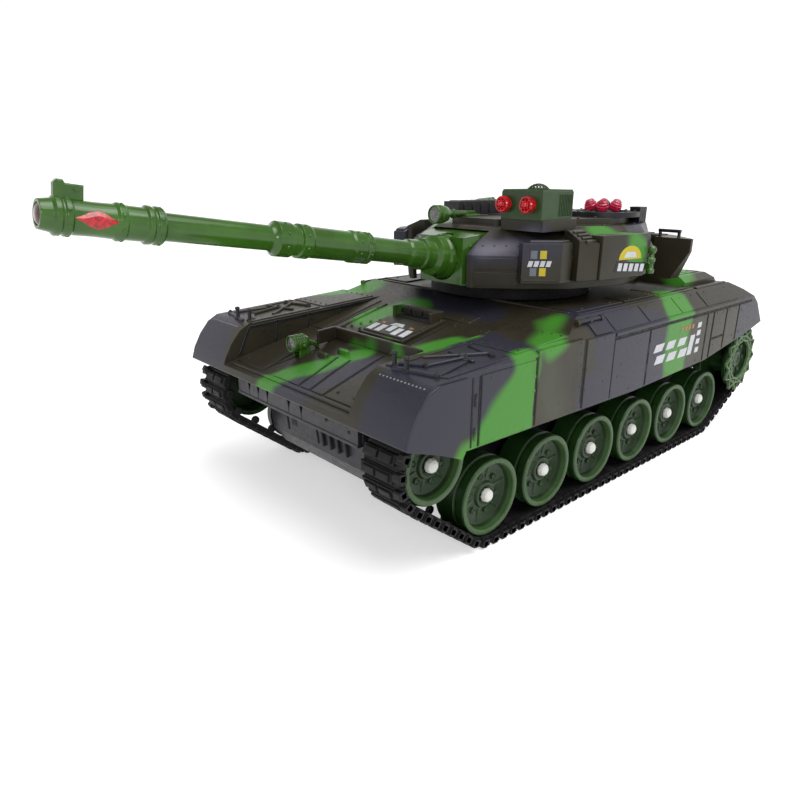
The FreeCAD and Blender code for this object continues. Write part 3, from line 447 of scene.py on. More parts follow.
def camouflage(name, blotches):
    """Sprayed camouflage on moulded plastic: soft blotches over brown, grain and rubbed edges."""
    s = Shader(name)
    scaled = s.vector("MULTIPLY", s.place, (1 / MM,) * 3)
    local = s.vector("SUBTRACT", scaled, (0, AXIS_Y, 0))
    drift = s.noise(30.0, 2.0, output="Color")
    centred = s.vector("SUBTRACT", drift, (0.5,) * 3)
    place = s.vector("ADD", local, s.vector("MULTIPLY", centred, (CAMOUFLAGE_WARP * 2,) * 3))
    cloud = s.noise(26.0, 4.0)
    colour = s.mix(s.span(cloud, 0.35, 0.65), shade(BROWN, 0.72), BROWN)
    for tone, start, end, radius, soft in blotches:
        run = tuple(b - a for a, b in zip(start, end))
        spot = s.node("ShaderNodeGroup", node_tree=CAPSULE)
        for socket, value in zip(spot.inputs, (place, start, run, radius, soft)):
            s.feed(socket, value)
        colour = s.mix(spot.outputs["Mask"], colour, tone)
    speck = s.noise(1.6, 5.0, 0.65)
    colour = s.mix(s.span(speck, 0.35, 0.8, 0.0, 0.08), colour, paint(110, 106, 94))
    rub = s.math("MULTIPLY", s.edges(0.45), s.span(speck, 0.42, 0.62, 0.0, 0.35))
    colour = s.mix(rub, colour, paint(140, 136, 120))
    s.bump(s.noise(0.45, 2.0), 0.03, 0.5)
    uneven = s.span(speck, 0.3, 0.7, CAMOUFLAGE_ROUGH * 0.85, CAMOUFLAGE_ROUGH * 1.2)
    return s.finish(Base_Color=colour, Roughness=uneven, Specular_IOR_Level=0.28)


# Blotches in paint order: colour, the two ends of a capsule, its radius and how soft its edge is.
HULL_BLOTCHES = [
    (SLATE, (74, -142, 56), (72, -124, 74), 22, 4),
    (SLATE, (70, -122, 76), (68, -84, 78), 15, 4),
    (SLATE, (78, -96, 74), (76, -104, 60), 8, 3),
    (SLATE, (76, -18, 74), (76, 18, 66), 16, 4),
    (SLATE, (76, -34, 50), (76, 18, 52), 12, 3),
    (SLATE, (66, -30, 84), (68, -12, 82), 9, 3),
    (SLATE, (76, 122, 62), (70, 136, 62), 16, 3),
    (SLATE, (6, -140, 58), (14, -112, 65), 11, 4),
    (SLATE, (46, -92, 74), (50, -74, 77), 8, 4),
    (SLATE, (-60, -144, 56), (-66, -128, 70), 15, 4),
    (SLATE, (-20, -44, 82), (26, -46, 82), 9, 4),
    (LEAF, (77, -80, 78), (77, -80, 46), 8, 2),
    (LEAF, (77, -84, 60), (77, -97, 50), 11, 2.5),
    (LEAF, (77, -92, 48), (77, -110, 44), 9, 2.5),
    (BROWN, (78, -61, 75), (78, -61, 44), 12.5, 0.8),
    (MOSS, (79, -68, 72), (79, -62, 56), 7, 6),
    (MOSS, (79, 58, 74), (79, 52, 48), 4, 4),
    (LEAF, (60, -44, 85), (72, -66, 80), 7, 3),
    (LEAF, (76, -77, 79), (76, -56, 79), 3, 1.5),
    (LEAF, (44, -104, 74), (43, -76, 77), 4, 2),
    (LEAF, (66, 44, 85), (76, 38, 74), 9, 2.5),
    (LEAF, (76, 38, 74), (76, 38, 46), 11, 2.5),
    (LEAF, (-9, -136, 59), (4, -103, 67), 7.5, 2.5),
    (LEAF, (-8, -93, 69), (4, -92, 70), 4, 2),
    (LEAF, (22, -94, 70), (34, -74, 74), 4, 2),
    (LEAF, (-24, -72, 74), (-16, -52, 79), 9, 3),
    (LEAF, (-76, -60, 78), (-76, -88, 46), 11, 3),
    (LEAF, (-60, -44, 85), (-70, -60, 82), 9, 3),
    (LEAF, (-76, 22, 78), (-76, 54, 44), 12, 3),
    (LEAF, (24, 126, 76), (-14, 142, 58), 9, 3),
    (LEAF, (-58, 84, 90), (-20, 98, 90), 9, 3),
    (LEAF, (52, 74, 90), (40, 96, 90), 9, 3),
    (SLATE, (-76, -14, 78), (-76, 4, 46), 15, 3),
    (SLATE, (-76, 112, 78), (-60, 140, 60), 17, 3),
    (SLATE, (10, 88, 90), (30, 112, 84), 12, 4),
]
TURRET_BLOTCHES = [
    (SLATE, (24, -52, 112), (40, -34, 110), 11, 3),
    # Painted highlight: a pale patch for the shine on the left front cheek facet.
    (PAINTED_HIGHLIGHT, (24, -46, 109), (38, -32, 113), 5, 4),
    (SLATE, (-24, -52, 112), (-42, -30, 104), 11, 3),
    (SLATE, (56, 29, 114), (50, 42, 117), 8.5, 3),
    (SLATE, (-30, 30, 121), (-10, 48, 118), 11, 3),
    (LEAF, (48, 6, 120), (60, 13, 104), 8, 2.5),
    (LEAF, (-22, -40, 118), (-30, -4, 120), 6, 2),
    (LEAF, (-62, 4, 112), (-60, 22, 96), 9, 3),
    (LEAF, (-30, 62, 112), (-44, 68, 94), 9, 3),
    (LEAF, (30, 70, 106), (52, 64, 90), 8, 3),
    (SLATE, (0, 62, 112), (10, 70, 92), 9, 3),
]
hull_paint = camouflage("hull_camouflage", HULL_BLOTCHES)
turret_paint = camouflage("turret_camouflage", TURRET_BLOTCHES)
black_plastic = plastic("black_plastic", paint(36, 36, 42), 0.42, worn=paint(84, 84, 92))
tub_plastic = plastic("tub_grey", paint(58, 57, 64), 0.4, worn=paint(110, 108, 114))
# Black plastic, darkened further as painted shade for the deep shadow in the gap between turret and deck.
black_collar_painted_shade = plastic("black_collar_painted_shade", paint(12, 12, 15), 0.5, gloss=0.15)
gun_plastic = plastic("gun_green", paint(74, 128, 34), 0.2, grain=0.006, tint=0.1, worn=paint(84, 150, 60),
                      coat=0.22)
sight_green = plastic("sight_green", paint(58, 92, 42), 0.35, tint=0.1, worn=paint(88, 118, 74))
wheel_plastic = plastic("wheel_green", paint(40, 76, 30), 0.36, tint=0.16, worn=paint(70, 104, 60))
rim_plastic = plastic("wheel_rim_green", paint(74, 114, 58), 0.4, tint=0.1, worn=paint(116, 146, 102))
dish_plastic = plastic("wheel_dish_green", paint(42, 70, 32), 0.4, tint=0.16, worn=paint(66, 98, 58))
# The star's own green, made pale as a painted highlight for the light its bars' edges catch.
star_green_painted_highlight = plastic("sprocket_pale_green", paint(118, 156, 104), 0.4, tint=0.1)
white_plastic = plastic("white_plastic", paint(226, 226, 220, 0.7), 0.3, tint=0.04)
steel = plastic("plated_steel", paint(178, 178, 180), 0.3, tint=0.06)
gearbox_grey = plastic("gearbox_grey", paint(120, 120, 124), 0.45)
board_green = plastic("circuit_board_green", paint(24, 92, 52), 0.3)
wrap_blue = plastic("battery_wrap_blue", paint(34, 60, 130), 0.3)


def rubber(name):
    """Soft black track rubber with dust in its pits."""
    s = Shader(name)
    dust = s.noise(5.0, 6.0, 0.7)
    fine = s.noise(0.7, 4.0, 0.6)
    base = s.mix(s.span(dust, 0.4, 0.75), paint(20, 17, 20), paint(44, 39, 41))
    base = s.mix(s.edges(0.4, 0.4), base, paint(66, 60, 64))
    s.bump(fine, 0.06, 0.7)
    return s.finish(Base_Color=base, Roughness=s.span(dust, 0.3, 0.7, 0.48, 0.72),
                    Specular_IOR_Level=0.25)


def lens(name, colour, glow=0.15):
    """Clear tinted plastic with a ribbed, darker depth."""
    s = Shader(name)
    ribs = s.noise(1.1, 2.0)
    s.bump(ribs, 0.12, 0.6)
    depth = s.mix(s.span(ribs, 0.35, 0.65), shade(colour, 0.35), colour)
    return s.finish(Base_Color=depth, Roughness=0.12, Coat_Weight=0.2, Emission_Color=colour,
                    Emission_Strength=glow)


track_rubber = rubber("track_rubber")
red_lens = lens("red_lens", paint(215, 16, 30, 0.6), 0.2)
muzzle_red = lens("muzzle_red", paint(120, 26, 26), 0.05)
beacon_red = lens("beacon_red", paint(255, 46, 96), 0.25)
pale_lens = lens("pale_lens", paint(150, 156, 146), 0.03)
# Painted shade: a near-black plastic for thin strips laid in grooves, slots and recesses, standing in for the
# shadow inside them.
seam_painted_shade = plastic("seam_shadow", paint(24, 23, 24), 0.6, tint=0.1)
decal_white = plastic("decal_white", paint(222, 224, 230, 0.6), 0.3, tint=0.05)
decal_grey = plastic("decal_grey", paint(140, 146, 158), 0.3, tint=0.05)
decal_yellow = plastic("decal_yellow", paint(222, 204, 30, 0.55), 0.3, tint=0.05)
decal_orange = plastic("decal_orange", paint(205, 140, 40), 0.3, tint=0.05)
decal_black = plastic("decal_black", paint(26, 28, 34), 0.3, tint=0.05)


# ---------------------------------------------------------------- camera, light and floor

AZIMUTH, ELEVATION, ROLL = math.radians(48.01), math.radians(18.82), math.radians(0.36)
CAMERA_PLACE = (0.21688, -0.23472, 0.13869)
CAMERA_LENS, CAMERA_SENSOR = 29.66, 36.0


def add_object(name, data):
    thing = bpy.data.objects.new(name, data)
    bpy.context.scene.collection.objects.link(thing)
    return thing


def facing(direction):
    """A turn that points a light back along a direction."""
    return direction.to_track_quat("Z", "Y").to_matrix().to_4x4()


def make_camera():
    level_right = flat(AZIMUTH)
    back = Vector((level_right.y * math.cos(ELEVATION), -level_right.x * math.cos(ELEVATION),
                   math.sin(ELEVATION)))
    level_up = back.cross(level_right)
    right = level_right * math.cos(ROLL) + level_up * math.sin(ROLL)
    up = level_up * math.cos(ROLL) - level_right * math.sin(ROLL)
    camera = add_object("camera", bpy.data.cameras.new("camera"))
    camera.data.sensor_width = CAMERA_SENSOR
    camera.data.lens = CAMERA_LENS
    camera.data.clip_start = 0.01
    turn = Matrix((right, up, back)).transposed().to_4x4()
    camera.matrix_world = Matrix.Translation(CAMERA_PLACE) @ turn
    bpy.context.scene.camera = camera


def softbox(name, place, aim, size, watts):
    light = bpy.data.lights.new(name, "AREA")
    light.shape = "DISK"
    light.size = size
    light.energy = watts
    place = Vector(place)
    add_object(name, light).matrix_world = Matrix.Translation(place) @ facing(place - Vector(aim))


def make_world():
    """A white surround, bright below and dimmer overhead."""
    world = bpy.data.worlds.new("studio")
    world.use_nodes = True
    s = Nodes(world.node_tree)
    where = s.node("ShaderNodeTexCoord").outputs["Generated"]
    height = s.node("ShaderNodeSeparateXYZ", {0: where}).outputs["Z"]
    ground = s.nodes["Background"]
    s.feed(ground.inputs["Strength"], s.span(height, 0.4, 0.7, 1.04, 0.35))
    ground.inputs["Color"].default_value = (1, 1, 1, 1)
    bpy.context.scene.world = world


def make_sun():
    sun = bpy.data.lights.new("soft_sun", "SUN")
    sun.energy = 2.1
    sun.angle = math.radians(50)
    add_object("soft_sun", sun).matrix_world = facing(Vector((0.45, 0.12, 1.0)))


def make_floor():
    bm = bmesh.new()
    reach = 20.0
    bmesh.ops.create_grid(bm, x_segments=2, y_segments=2, size=reach)
    mesh = bpy.data.meshes.new("floor")
    bm.to_mesh(mesh)
    bm.free()
    s = Shader("floor_paper")
    tooth = s.noise(1.5, 3.0)
    s.bump(tooth, 0.02, 0.3)
    base = s.mix(s.span(tooth, 0.3, 0.7), (0.6, 0.6, 0.6, 1), (0.63, 0.63, 0.63, 1))
    mesh.materials.append(s.finish(Base_Color=base, Roughness=0.9, Emission_Color=(1, 1, 1, 1),
                                   Emission_Strength=0.5))
    add_object("floor", mesh)


def make_studio():
    make_world()
    make_sun()
    softbox("top_light", (0.10, 0.05, 0.75), (0, 0, 0.05), 0.6, 1.5)
    softbox("front_light", (0.50, -0.40, 0.30), (0, -0.1, 0.06), 0.12, 0.7)
    make_floor()
    bpy.context.scene.view_settings.view_transform = "Standard"


make_camera()
make_studio()


# ---------------------------------------------------------------- hull


def hull_piece(name, bm, rounding=0.0, replaces=(), look=hull_paint):
    piece(name, bm, look, "root", rounding, replaces)


SKIRT_FOOT = [(-112.5, 47.7), (-105.0, 47.5), (0.0, 46.0), (72.0, 48.0), (99.0, 52.0), (114.0, 54.0),
              (127.5, 56.3), (141.0, 59.2)]
# Skirt panels: front and rear edge, and the height of the top edge.
SKIRT_PANELS = [(-105.2, -75.0, 74.2), (-73.5, -43.8, 77.4), (-41.6, -21.0, 76.6), (-20.6, 8.6, 73.2),
                (9.8, 66.4, 73.2), (67.6, 73.3, 73.2), (90.2, 104.3, 73.2)]
SKIRT_SEAMS = [(-74.3, 52.0, 75.0, 1.3), (-42.7, 50.0, 76.8, 1.9), (9.2, 46.6, 73.4, 1.0),
               (67.0, 48.2, 73.4, 1.0), (74.0, 57.5, 72.5, 1.3), (89.6, 59.5, 73.4, 1.0),
               (104.9, 53.4, 73.4, 1.0), (-50.0, 47.2, 53.0, 0.9), (-109.4, 48.4, 74.0, 0.8),
               (-105.7, 48.0, 74.0, 0.8)]
SKIRT_RIVETS = [(-72.3, 74.9), (-75.5, 67.9), (-75.5, 62.3), (-69.3, 56.2), (-58.3, 53.2), (-66.4, 76.4),
                (-58.2, 76.4), (-46.3, 76.2), (-45.5, 71.5), (-44.9, 66.4), (-44.6, 57.5), (-40.4, 64.2),
                (-40.4, 55.2), (-28.8, 75.6), (-34.6, 75.6), (-13.6, 61.3), (-15.8, 56.1), (-27.3, 56.5),
                (-80.5, 48.3), (-89.5, 48.9), (-98.1, 49.0), (-90.0, 73.0), (-100.0, 72.6), (-80.0, 73.0),
                (78.0, 71.8), (85.6, 71.8), (93.4, 71.8), (101.0, 71.8), (78.0, 55.2), (101.0, 57.0),
                (-5.0, 48.6), (30.0, 48.8), (60.0, 49.8), (108.5, 70.0), (108.5, 58.0)]
HINGE_SPOTS = [(-107.6, 65.5), (-107.6, 53.0), (9.2, 65.0), (9.2, 55.0), (67.0, 65.0), (67.0, 56.0)]


def path_height(path, y):
    """The height at y of a path of (y, z) pairs."""
    for (y0, z0), (y1, z1) in zip(path, path[1:]):
        if y <= y1:
            return z0 + (z1 - z0) * (y - y0) / (y1 - y0)
    return path[-1][1]


NOSE_SIDE, NOSE_BACK = 75.5, -126.4


def make_hull_shell():
    shell = shape_of("upper_hull")
    brow = [edge for edge in shell.edges
            if all(abs(vert.co.x) > NOSE_SIDE and vert.co.y < NOSE_BACK for vert in edge.verts)]
    bmesh.ops.bevel(shell, geom=brow, offset=3.2, segments=4, profile=0.5, affect="EDGES", clamp_overlap=True)
    hull_piece("hull_shell", shell, 0.9, ["upper_hull"])


def make_skirt(side, sign):
    face = skirt(sign)
    panels = bmesh.new()
    for start, end, top in SKIRT_PANELS:
        foot = [(start, path_height(SKIRT_FOOT, start) + 0.7), (end, path_height(SKIRT_FOOT, end) + 0.7)]
        plate(panels, face, foot + [(end, top), (start, top)], 0.5, 0.25, sink=1.9)
    front, back, split = 74.8, 89.0, 59.0
    foot = path_height(SKIRT_FOOT, 82.0) + 0.5
    lower_door = [(front, foot - 1.2), (back, foot + 1.2), (back, split - 0.5), (front, split - 0.5)]
    tail = [(105.5, 53.6), (134.0, 58.6), (134.0, 66.4), (124.6, 73.2), (105.5, 73.2)]
    for outline in (lower_door, oblong(front, split + 0.5, back, 73.2), tail):
        plate(panels, face, outline, 0.5, 0.25)
    plate(panels, face, [(-20.0, 74.6), (122.5, 74.6), (121.0, 76.3), (-20.0, 76.3)], 0.65, 0.3, sink=1.2)
    hull_piece(f"skirt_panels_{side}", panels, 0.15)

    # Painted shade: near-black strips in the skirt's seams and slots, and a dark line under the crease ledge,
    # stand in for the shadow in those grooves.
    shade_strips = bmesh.new()
    for y, low, high, width in SKIRT_SEAMS:
        ridge(shade_strips, face, (y, low), (y, high), width, 0.12)
    ridge(shade_strips, face, (-20.0, 73.9), (122.0, 73.9), 1.3, 0.12)
    ridge(shade_strips, face, (74.4, split), (89.4, split), 0.9, 0.12)
    hull_piece(f"skirt_seam_shade_{side}", shade_strips, look=seam_painted_shade)

    fittings = bmesh.new()
    studs(fittings, raised(face, 0.45), SKIRT_RIVETS, 0.8, 0.25)
    for y, z in HINGE_SPOTS:
        rod(fittings, 2.2, 0.65, face(y, z, 0.0), UP, 8)
        for step in (-1.1, 0, 1.1):
            rod(fittings, 0.3, 0.78, face(y, z + step, -0.14), UP, 8)
    hull_piece(f"skirt_fittings_{side}", fittings)


def make_shoulder(side, sign):
    bank = shoulder(sign)
    strips = bmesh.new()
    plate(strips, bank, oblong(-34.0, 1.2, -22.0, 8.0), 0.7, 0.3)
    for start, end in ((-19.0, 8.4), (9.8, 40.0), (41.0, 66.4), (67.6, 104.0)):
        plate(strips, bank, oblong(start, 1.0, end, 10.6), 0.4, 0.2)
    deck = level(DECK_Z)
    edge = sign * (HULL - SHOULDER_IN - 1.6)
    ridge(strips, deck, (edge, -34.0), (edge, 69.0), 1.4, 0.5, 0.2)
    hull_piece(f"shoulder_strips_{side}", strips, 0.12)
    bars = bmesh.new()
    rail = [bank(-42.0 + 2.4 * i, 8.6, 0.9 + 0.5 * math.sin(math.pi * i / 8)) for i in range(9)]
    tube(bars, rail, 0.9)
    for y in (-41.0, -32.5, -24.0):
        rod(bars, 0.8, 1.35, bank(y, 8.6, 1.0), (0, 1, 0), 12)
    upper = [(y, 9.4) for y in (-12.0, 2.0, 16.0, 34.0, 48.0, 60.0, 74.0, 98.0)]
    studs(bars, bank, [(-30.0, 2.6), (-25.0, 2.6)] + upper, 0.7, 0.7)
    hull_piece(f"shoulder_bars_{side}", bars)


def make_fender(side, sign):
    def top(x, y, out=0.0):
        return fender_top(sign * x, y, out)

    def inner(y, z, out=0.0):
        return Vector((sign * (FENDER_IN - out), y, z))

    plates = bmesh.new()
    plate(plates, top, oblong(47.0, -84.0, 72.5, -52.0), 0.5, 0.25)
    plate(plates, top, oblong(47.0, -124.5, 50.0, -86.0), 0.5, 0.2)
    plate(plates, top, [(70.6, -122.0), (73.6, -120.0), (73.6, -86.0), (70.6, -86.0)], 0.5, 0.2)
    for start, end, wide in (((52.0, -125.5), (70.0, -122.0), 1.8), ((70.0, -122.0), (66.0, -104.0), 1.8),
                             ((59.0, -117.0), (62.5, -100.0), 1.5), ((50.0, -121.0), (60.0, -116.0), 1.8),
                             ((52.5, -98.0), (68.0, -102.0), 1.5), ((51.0, -110.0), (66.0, -90.0), 1.5),
                             ((54.0, -88.0), (69.0, -92.0), 1.5)):
        ridge(plates, top, start, end, wide, 1.1, 0.4)
    hull_piece(f"fender_frame_{side}", plates, 0.15)

    fittings = bmesh.new()
    for x, y in ((50.0, -123.0), (58.0, -124.6)):
        foot = top(x, y)
        profile = [(-0.4, 1.6), (0.6, 1.6), (0.9, 0.9), (4.2, 0.8), (4.6, 1.2), (5.4, 1.0), (5.7, 0)]
        lathe(fittings, profile, foot, UP, 12)
    posts = [(70.0, -122.0), (66.0, -104.0), (62.5, -100.0), (59.0, -116.6), (68.0, -92.0), (54.0, -88.0)]
    studs(fittings, top, posts, 1.3, 2.0)
    for y in (-81.0, -54.5):
        studs(fittings, top, row((49.0, y), (71.0, y), 6), 0.65, 0.9)
    for y, z in ((-119.0, 71.0), (-106.0, 72.0), (-92.0, 73.0)):
        foot = inner(y, z)
        stud(fittings, foot, inner(y, z, 1.0) - foot, 0.7, 0.5)
    hull_piece(f"fender_fittings_{side}", fittings, look=black_plastic)

    ribs = bmesh.new()
    for y in (-113.0, -95.0, -76.0):
        low = GLACIS_Z + GLACIS_RISE * (y - GLACIS_Y) + 0.6
        ridge(ribs, inner, (y, low), (y + 1.5, path_height(FENDER_LINE, y) - 0.6), 1.1, 0.35, 0.15)
    ridge(ribs, inner, (-132.0, 62.0), (-126.5, 73.4), 1.3, 0.45, 0.2)
    ridge(ribs, inner, (-126.5, 73.6), (-55.0, 77.6), 1.2, 0.35, 0.15)
    hull_piece(f"fender_ribs_{side}", ribs, 0.1, look=black_plastic)

    def brow(x, t, out=0.0):
        return Vector((sign * x, -131.2 + 4.7 * t - 0.5 * out, 72.6 + 2.6 * t + 0.87 * out))

    rivets = bmesh.new()
    studs(rivets, brow, row((50.0, 0.35), (72.0, 0.35), 13), 0.42, 0.3)
    hull_piece(f"fender_rivets_{side}", rivets, look=steel)


GLACIS_BOLTS = [(-24.8, -83.7), (-18.1, -84.2), (-23.2, -79.5), (-28.3, -85.4), (-20.3, -75.8),
                (-28.0, -94.0), (-29.4, -89.4), (-30.4, -78.0), (-31.0, -70.0), (-31.4, -62.0),
                (22.0, -90.0), (37.0, -90.0), (22.0, -63.0), (37.0, -63.0), (-18.4, -60.0), (26.0, -130.0),
                (36.0, -130.0), (26.0, -103.0), (36.0, -103.0), (-40.0, -130.0), (-40.0, -104.0),
                (17.8, -96.6), (20.6, -56.0), (10.0, -56.0), (-10.0, -56.0)]


def make_glacis():
    straps = bmesh.new()
    strap = [(-31.5, -97.0), (-26.0, -112.0), (-23.5, -112.0), (-28.5, -97.0), (-31.0, -56.0), (-34.0, -56.0)]
    plate(straps, glacis, strap, 0.6, 0.25)
    for outline in ([(-12.6, -134.5), (5.6, -134.5), (-2.6, -109.5), (-18.0, -109.5)],
                    [(7.0, -134.5), (13.2, -134.5), (5.6, -108.5), (-0.8, -108.5)],
                    [(14.6, -134.5), (21.6, -134.5), (15.8, -98.5), (7.2, -108.5)],
                    [(23.2, -134.5), (40.0, -134.5), (40.0, -98.5), (17.4, -98.5)],
                    oblong(19.0, -92.6, 40.0, -60.0),
                    [(-43.0, -92.6), (-36.0, -92.6), (-38.0, -54.0), (-43.0, -54.0)],
                    [(-43.5, -134.0), (-22.0, -134.0), (-28.0, -100.0), (-43.5, -100.0)]):
        plate(straps, glacis, outline, 0.45, 0.2)
    plate(straps, glacis, oblong(-24.0, -58.0, 26.0, -50.5), 0.6, 0.3)
    ridge(straps, glacis, (-43.0, -136.6), (43.0, -136.6), 1.6, 0.8, 0.3)
    for low, high in (((-5.0, -107.0), (1.0, -104.6)), ((-11.0, -113.4), (-5.0, -111.0))):
        block_low, block_high = glacis(*low), glacis(*high, 2.0)
        block(straps, block_low - UP, block_high, 0.5)
    hull_piece("glacis_plates", straps, 0.12)

    # Painted shade: near-black strips in the joints between the glacis plates.
    shade_strips = bmesh.new()
    for start, end in (((6.3, -134.5), (-1.7, -109.0)), ((13.9, -134.5), (6.3, -108.6)),
                       ((22.4, -134.5), (16.6, -98.6)), ((18.0, -92.6), (18.0, -60.0)),
                       ((-34.6, -97.0), (-34.8, -56.0)), ((-23.0, -133.0), (-18.4, -109.0))):
        ridge(shade_strips, glacis, start, end, 0.9, 0.1)
    hull_piece("glacis_seam_shade", shade_strips, look=seam_painted_shade)

    bolts = bmesh.new()
    studs(bolts, glacis, GLACIS_BOLTS, 0.8, 1.1)
    hull_piece("glacis_bolts", bolts)
    hull_piece("splash_ridge", shape_of("splash_board"), 0.4, ["splash_board"])


def make_driver_hatch():
    hatch = shape_of("driver_hatch")
    lid = raised(glacis, 1.6)
    plate(hatch, lid, oblong(-13.0, -86.0, 13.0, -71.0), 0.5, 0.25)
    studs(hatch, lid, [(x, y) for y in (-87.0, -63.4, -75.0) for x in (-13.9, 13.9)], 0.6, 0.6)
    hull_piece("driver_hatch_lid", hatch, 0.3, ["driver_hatch"])
    scopes, pane_shade = bmesh.new(), bmesh.new()
    cheek, back, front, tall = 13.0, -60.4, -68.6, 3.2
    for x0, x1, y0 in ((-cheek, -cheek + 1.8, front), (cheek - 1.8, cheek, front),
                       (-cheek + 1.8, cheek - 1.8, -64.4)):
        block(scopes, (x0, y0, lid(x0, y0).z - 0.6), (x1, back, lid(x0, back).z + tall), 0.4)
    # Painted shade: dark panes on the front of the scopes' back block stand in for the shadow in the scope
    # recess.
    for x in (-7.4, 0.0, 7.4):
        low = lid(x, -64.4)
        block(pane_shade, (x - 3.2, -65.2, low.z + 0.6), (x + 3.2, -64.2, low.z + 3.0), 0.3)
    hull_piece("driver_scopes", scopes, 0.2)
    hull_piece("driver_pane_shade", pane_shade, look=seam_painted_shade)
    # Painted shade: a dark floor between the scope cheeks stands in for the shadow in the well.
    pit = bmesh.new()
    plate(pit, lid, oblong(-cheek + 1.9, front + 0.4, cheek - 1.9, -65.3), 0.25)
    hull_piece("driver_well_shade", pit, look=seam_painted_shade)


def make_headlamp():
    low, high = limits("headlamp_housing")
    middle = (low + high) / 2
    radius = (high.x - low.x) / 2
    z = high.z - radius
    origin = Vector((middle.x, low.y, z))
    can = bmesh.new()
    profile = [(1.6, 0), (1.6, radius - 0.9), (0.2, radius - 0.8), (0, radius - 0.4), (0.5, radius),
               (1.6, radius), (1.8, radius - 0.5), (2.6, radius - 0.5), (2.8, radius), (4.0, radius),
               (4.2, radius - 0.5), (5.0, radius - 0.5), (5.2, radius), (6.4, radius), (8.2, radius * 0.75),
               (9.2, radius * 0.35), (9.4, 0)]
    lathe(can, profile, origin, (0, 1, 0), 28)
    ground = glacis(middle.x, low.y + 5)
    for step in (-1, 1):
        x = middle.x + step * 2.2
        corners = ((3.0, ground.z - 1.2), (9.5, ground.z), (7.5, z), (3.0, z))
        prism(can, [(x - 0.6, low.y + a, b) for a, b in corners], Vector((1.2, 0, 0)), 0.2)
    steps = ((0, 9.0, 0), (-0.4, 12.5, -1.4), (-0.4, 14.5, -3.0))
    tube(can, [(middle.x + dx, low.y + dy, z + dz) for dx, dy, dz in steps], 1.1)
    for step in (-1, 1):
        bolt = (middle.x + step * (radius + 0.1), low.y + 4.6, z - 0.6)
        stud(can, bolt, (step, 0, 0), 1.0, 0.9)
    piece("headlamp_can", can, gun_plastic, "root", 0.15, ["headlamp_housing"])
    glass = bmesh.new()
    lens_radius = radius - 0.85
    lathe(glass, [(1.5, 0), (1.5, lens_radius), (0.6, lens_radius), (0.25, lens_radius * 0.6), (0.1, 0)],
          origin, (0, 1, 0), 28)
    piece("headlamp_glass", glass, pale_lens, "root", 0, ["headlamp_lens"])


def slope(profile, way):
    """A surface across the hull that follows a falling Y-Z profile and faces front (-1) or rear (1)."""
    pairs = list(zip(profile, profile[1:]))

    def surface(x, z, out=0.0):
        (y0, z0), (y1, z1) = next((pair for pair in pairs if z >= pair[1][1]), pairs[-1])
        share = (z0 - z) / (z0 - z1)
        normal = Vector((0, (z0 - z1) * way, (y1 - y0) * way)).normalized()
        return Vector((x, y0 + (y1 - y0) * share, z)) + normal * out
    return surface


bow = slope([(-136.5, 57.0), (-118.3, 42.0), (-116.0, 23.0)], -1)
stern = slope([(118.5, 80.0), (131.0, 71.5), (141.0, 59.2)], 1)
transom = slope([(134.0, 57.0), (132.0, 38.0), (119.0, 15.0)], 1)


def make_stern():
    plates, dark, fittings, lamps = (bmesh.new() for _ in range(4))
    for sign in (1, -1):
        def half(x, z, out=0.0):
            return stern(sign * x, z, out)
        plate(plates, half, [(2.0, 70.6), (40.0, 70.6), (44.0, 61.4), (2.0, 61.4)], 0.6, 0.3)
        plate(plates, half, [(48.0, 70.6), (66.0, 70.6), (68.0, 61.4), (51.0, 61.4)], 0.6, 0.3)
        plate(plates, half, [(14.0, 79.0), (58.0, 79.0), (60.0, 72.6), (14.0, 72.6)], 0.5, 0.25)
        bolts = row((4.5, 69.6), (38.0, 69.6), 6) + row((4.5, 62.4), (40.5, 62.4), 6)
        bolts += [(50.5, 69.6), (64.0, 69.6), (66.0, 62.4), (53.5, 62.4)] + row((17.0, 73.6), (56.0, 73.6), 5)
        studs(plates, half, bolts, 0.7, 1.0)
        # Painted shade: dark strips in the joints between the stern plates.
        for x, high, low in ((45.6, 71.0, 61.0), (11.6, 79.4, 72.2)):
            plate(dark, half, oblong(x, high, x + 0.7, low), 0.12)
        plate(dark, half, oblong(0.0, 71.9, 69.0, 71.55), 0.12)
        plate(fittings, half, oblong(53.0, 68.6, 63.0, 63.6), 2.4, 0.5)
        for x in (55.6, 60.4):
            foot = half(x, 66.1, 2.2)
            lathe(lamps, [(0, 0), (0, 1.9), (0.7, 1.8), (1.2, 1.2), (1.4, 0)], foot,
                  half(x, 66.1, 3.2) - foot, 18)
        arc = [half(26.0 + 2.6 * math.cos(t), 66.0, 0.4 + 3.0 * math.sin(t))
               for t in (math.radians(20 * k) for k in range(10))]
        tube(fittings, arc, 0.7, 8)
        plate(fittings, half, oblong(21.6, 67.6, 30.4, 64.6), 0.9, 0.3)
    for i in range(6):
        z = 73.2 + 1.0 * i
        plate(fittings, stern, oblong(-10.0, z, 10.0, z + 0.5), 1.0, 0.15)
    hull_piece("stern_plates", plates)
    hull_piece("stern_seam_shade", dark, look=seam_painted_shade)
    piece("stern_fittings", fittings, black_plastic, "root")
    piece("tail_lamps", lamps, red_lens, "root")
    back = bmesh.new()
    for x0, x1 in ((-42.0, -17.0), (-15.0, 15.0), (17.0, 42.0)):
        plate(back, transom, oblong(x0, 54.0, x1, 41.0), 0.7, 0.3)
        plate(back, transom, oblong(x0, 36.0, x1, 20.0), 0.7, 0.3)
        studs(back, transom, [(x, z) for z in (52.4, 42.6) for x in (x0 + 2, x1 - 2)], 0.8, 1.1)
    piece("tub_back_plates", back, tub_plastic, "root")


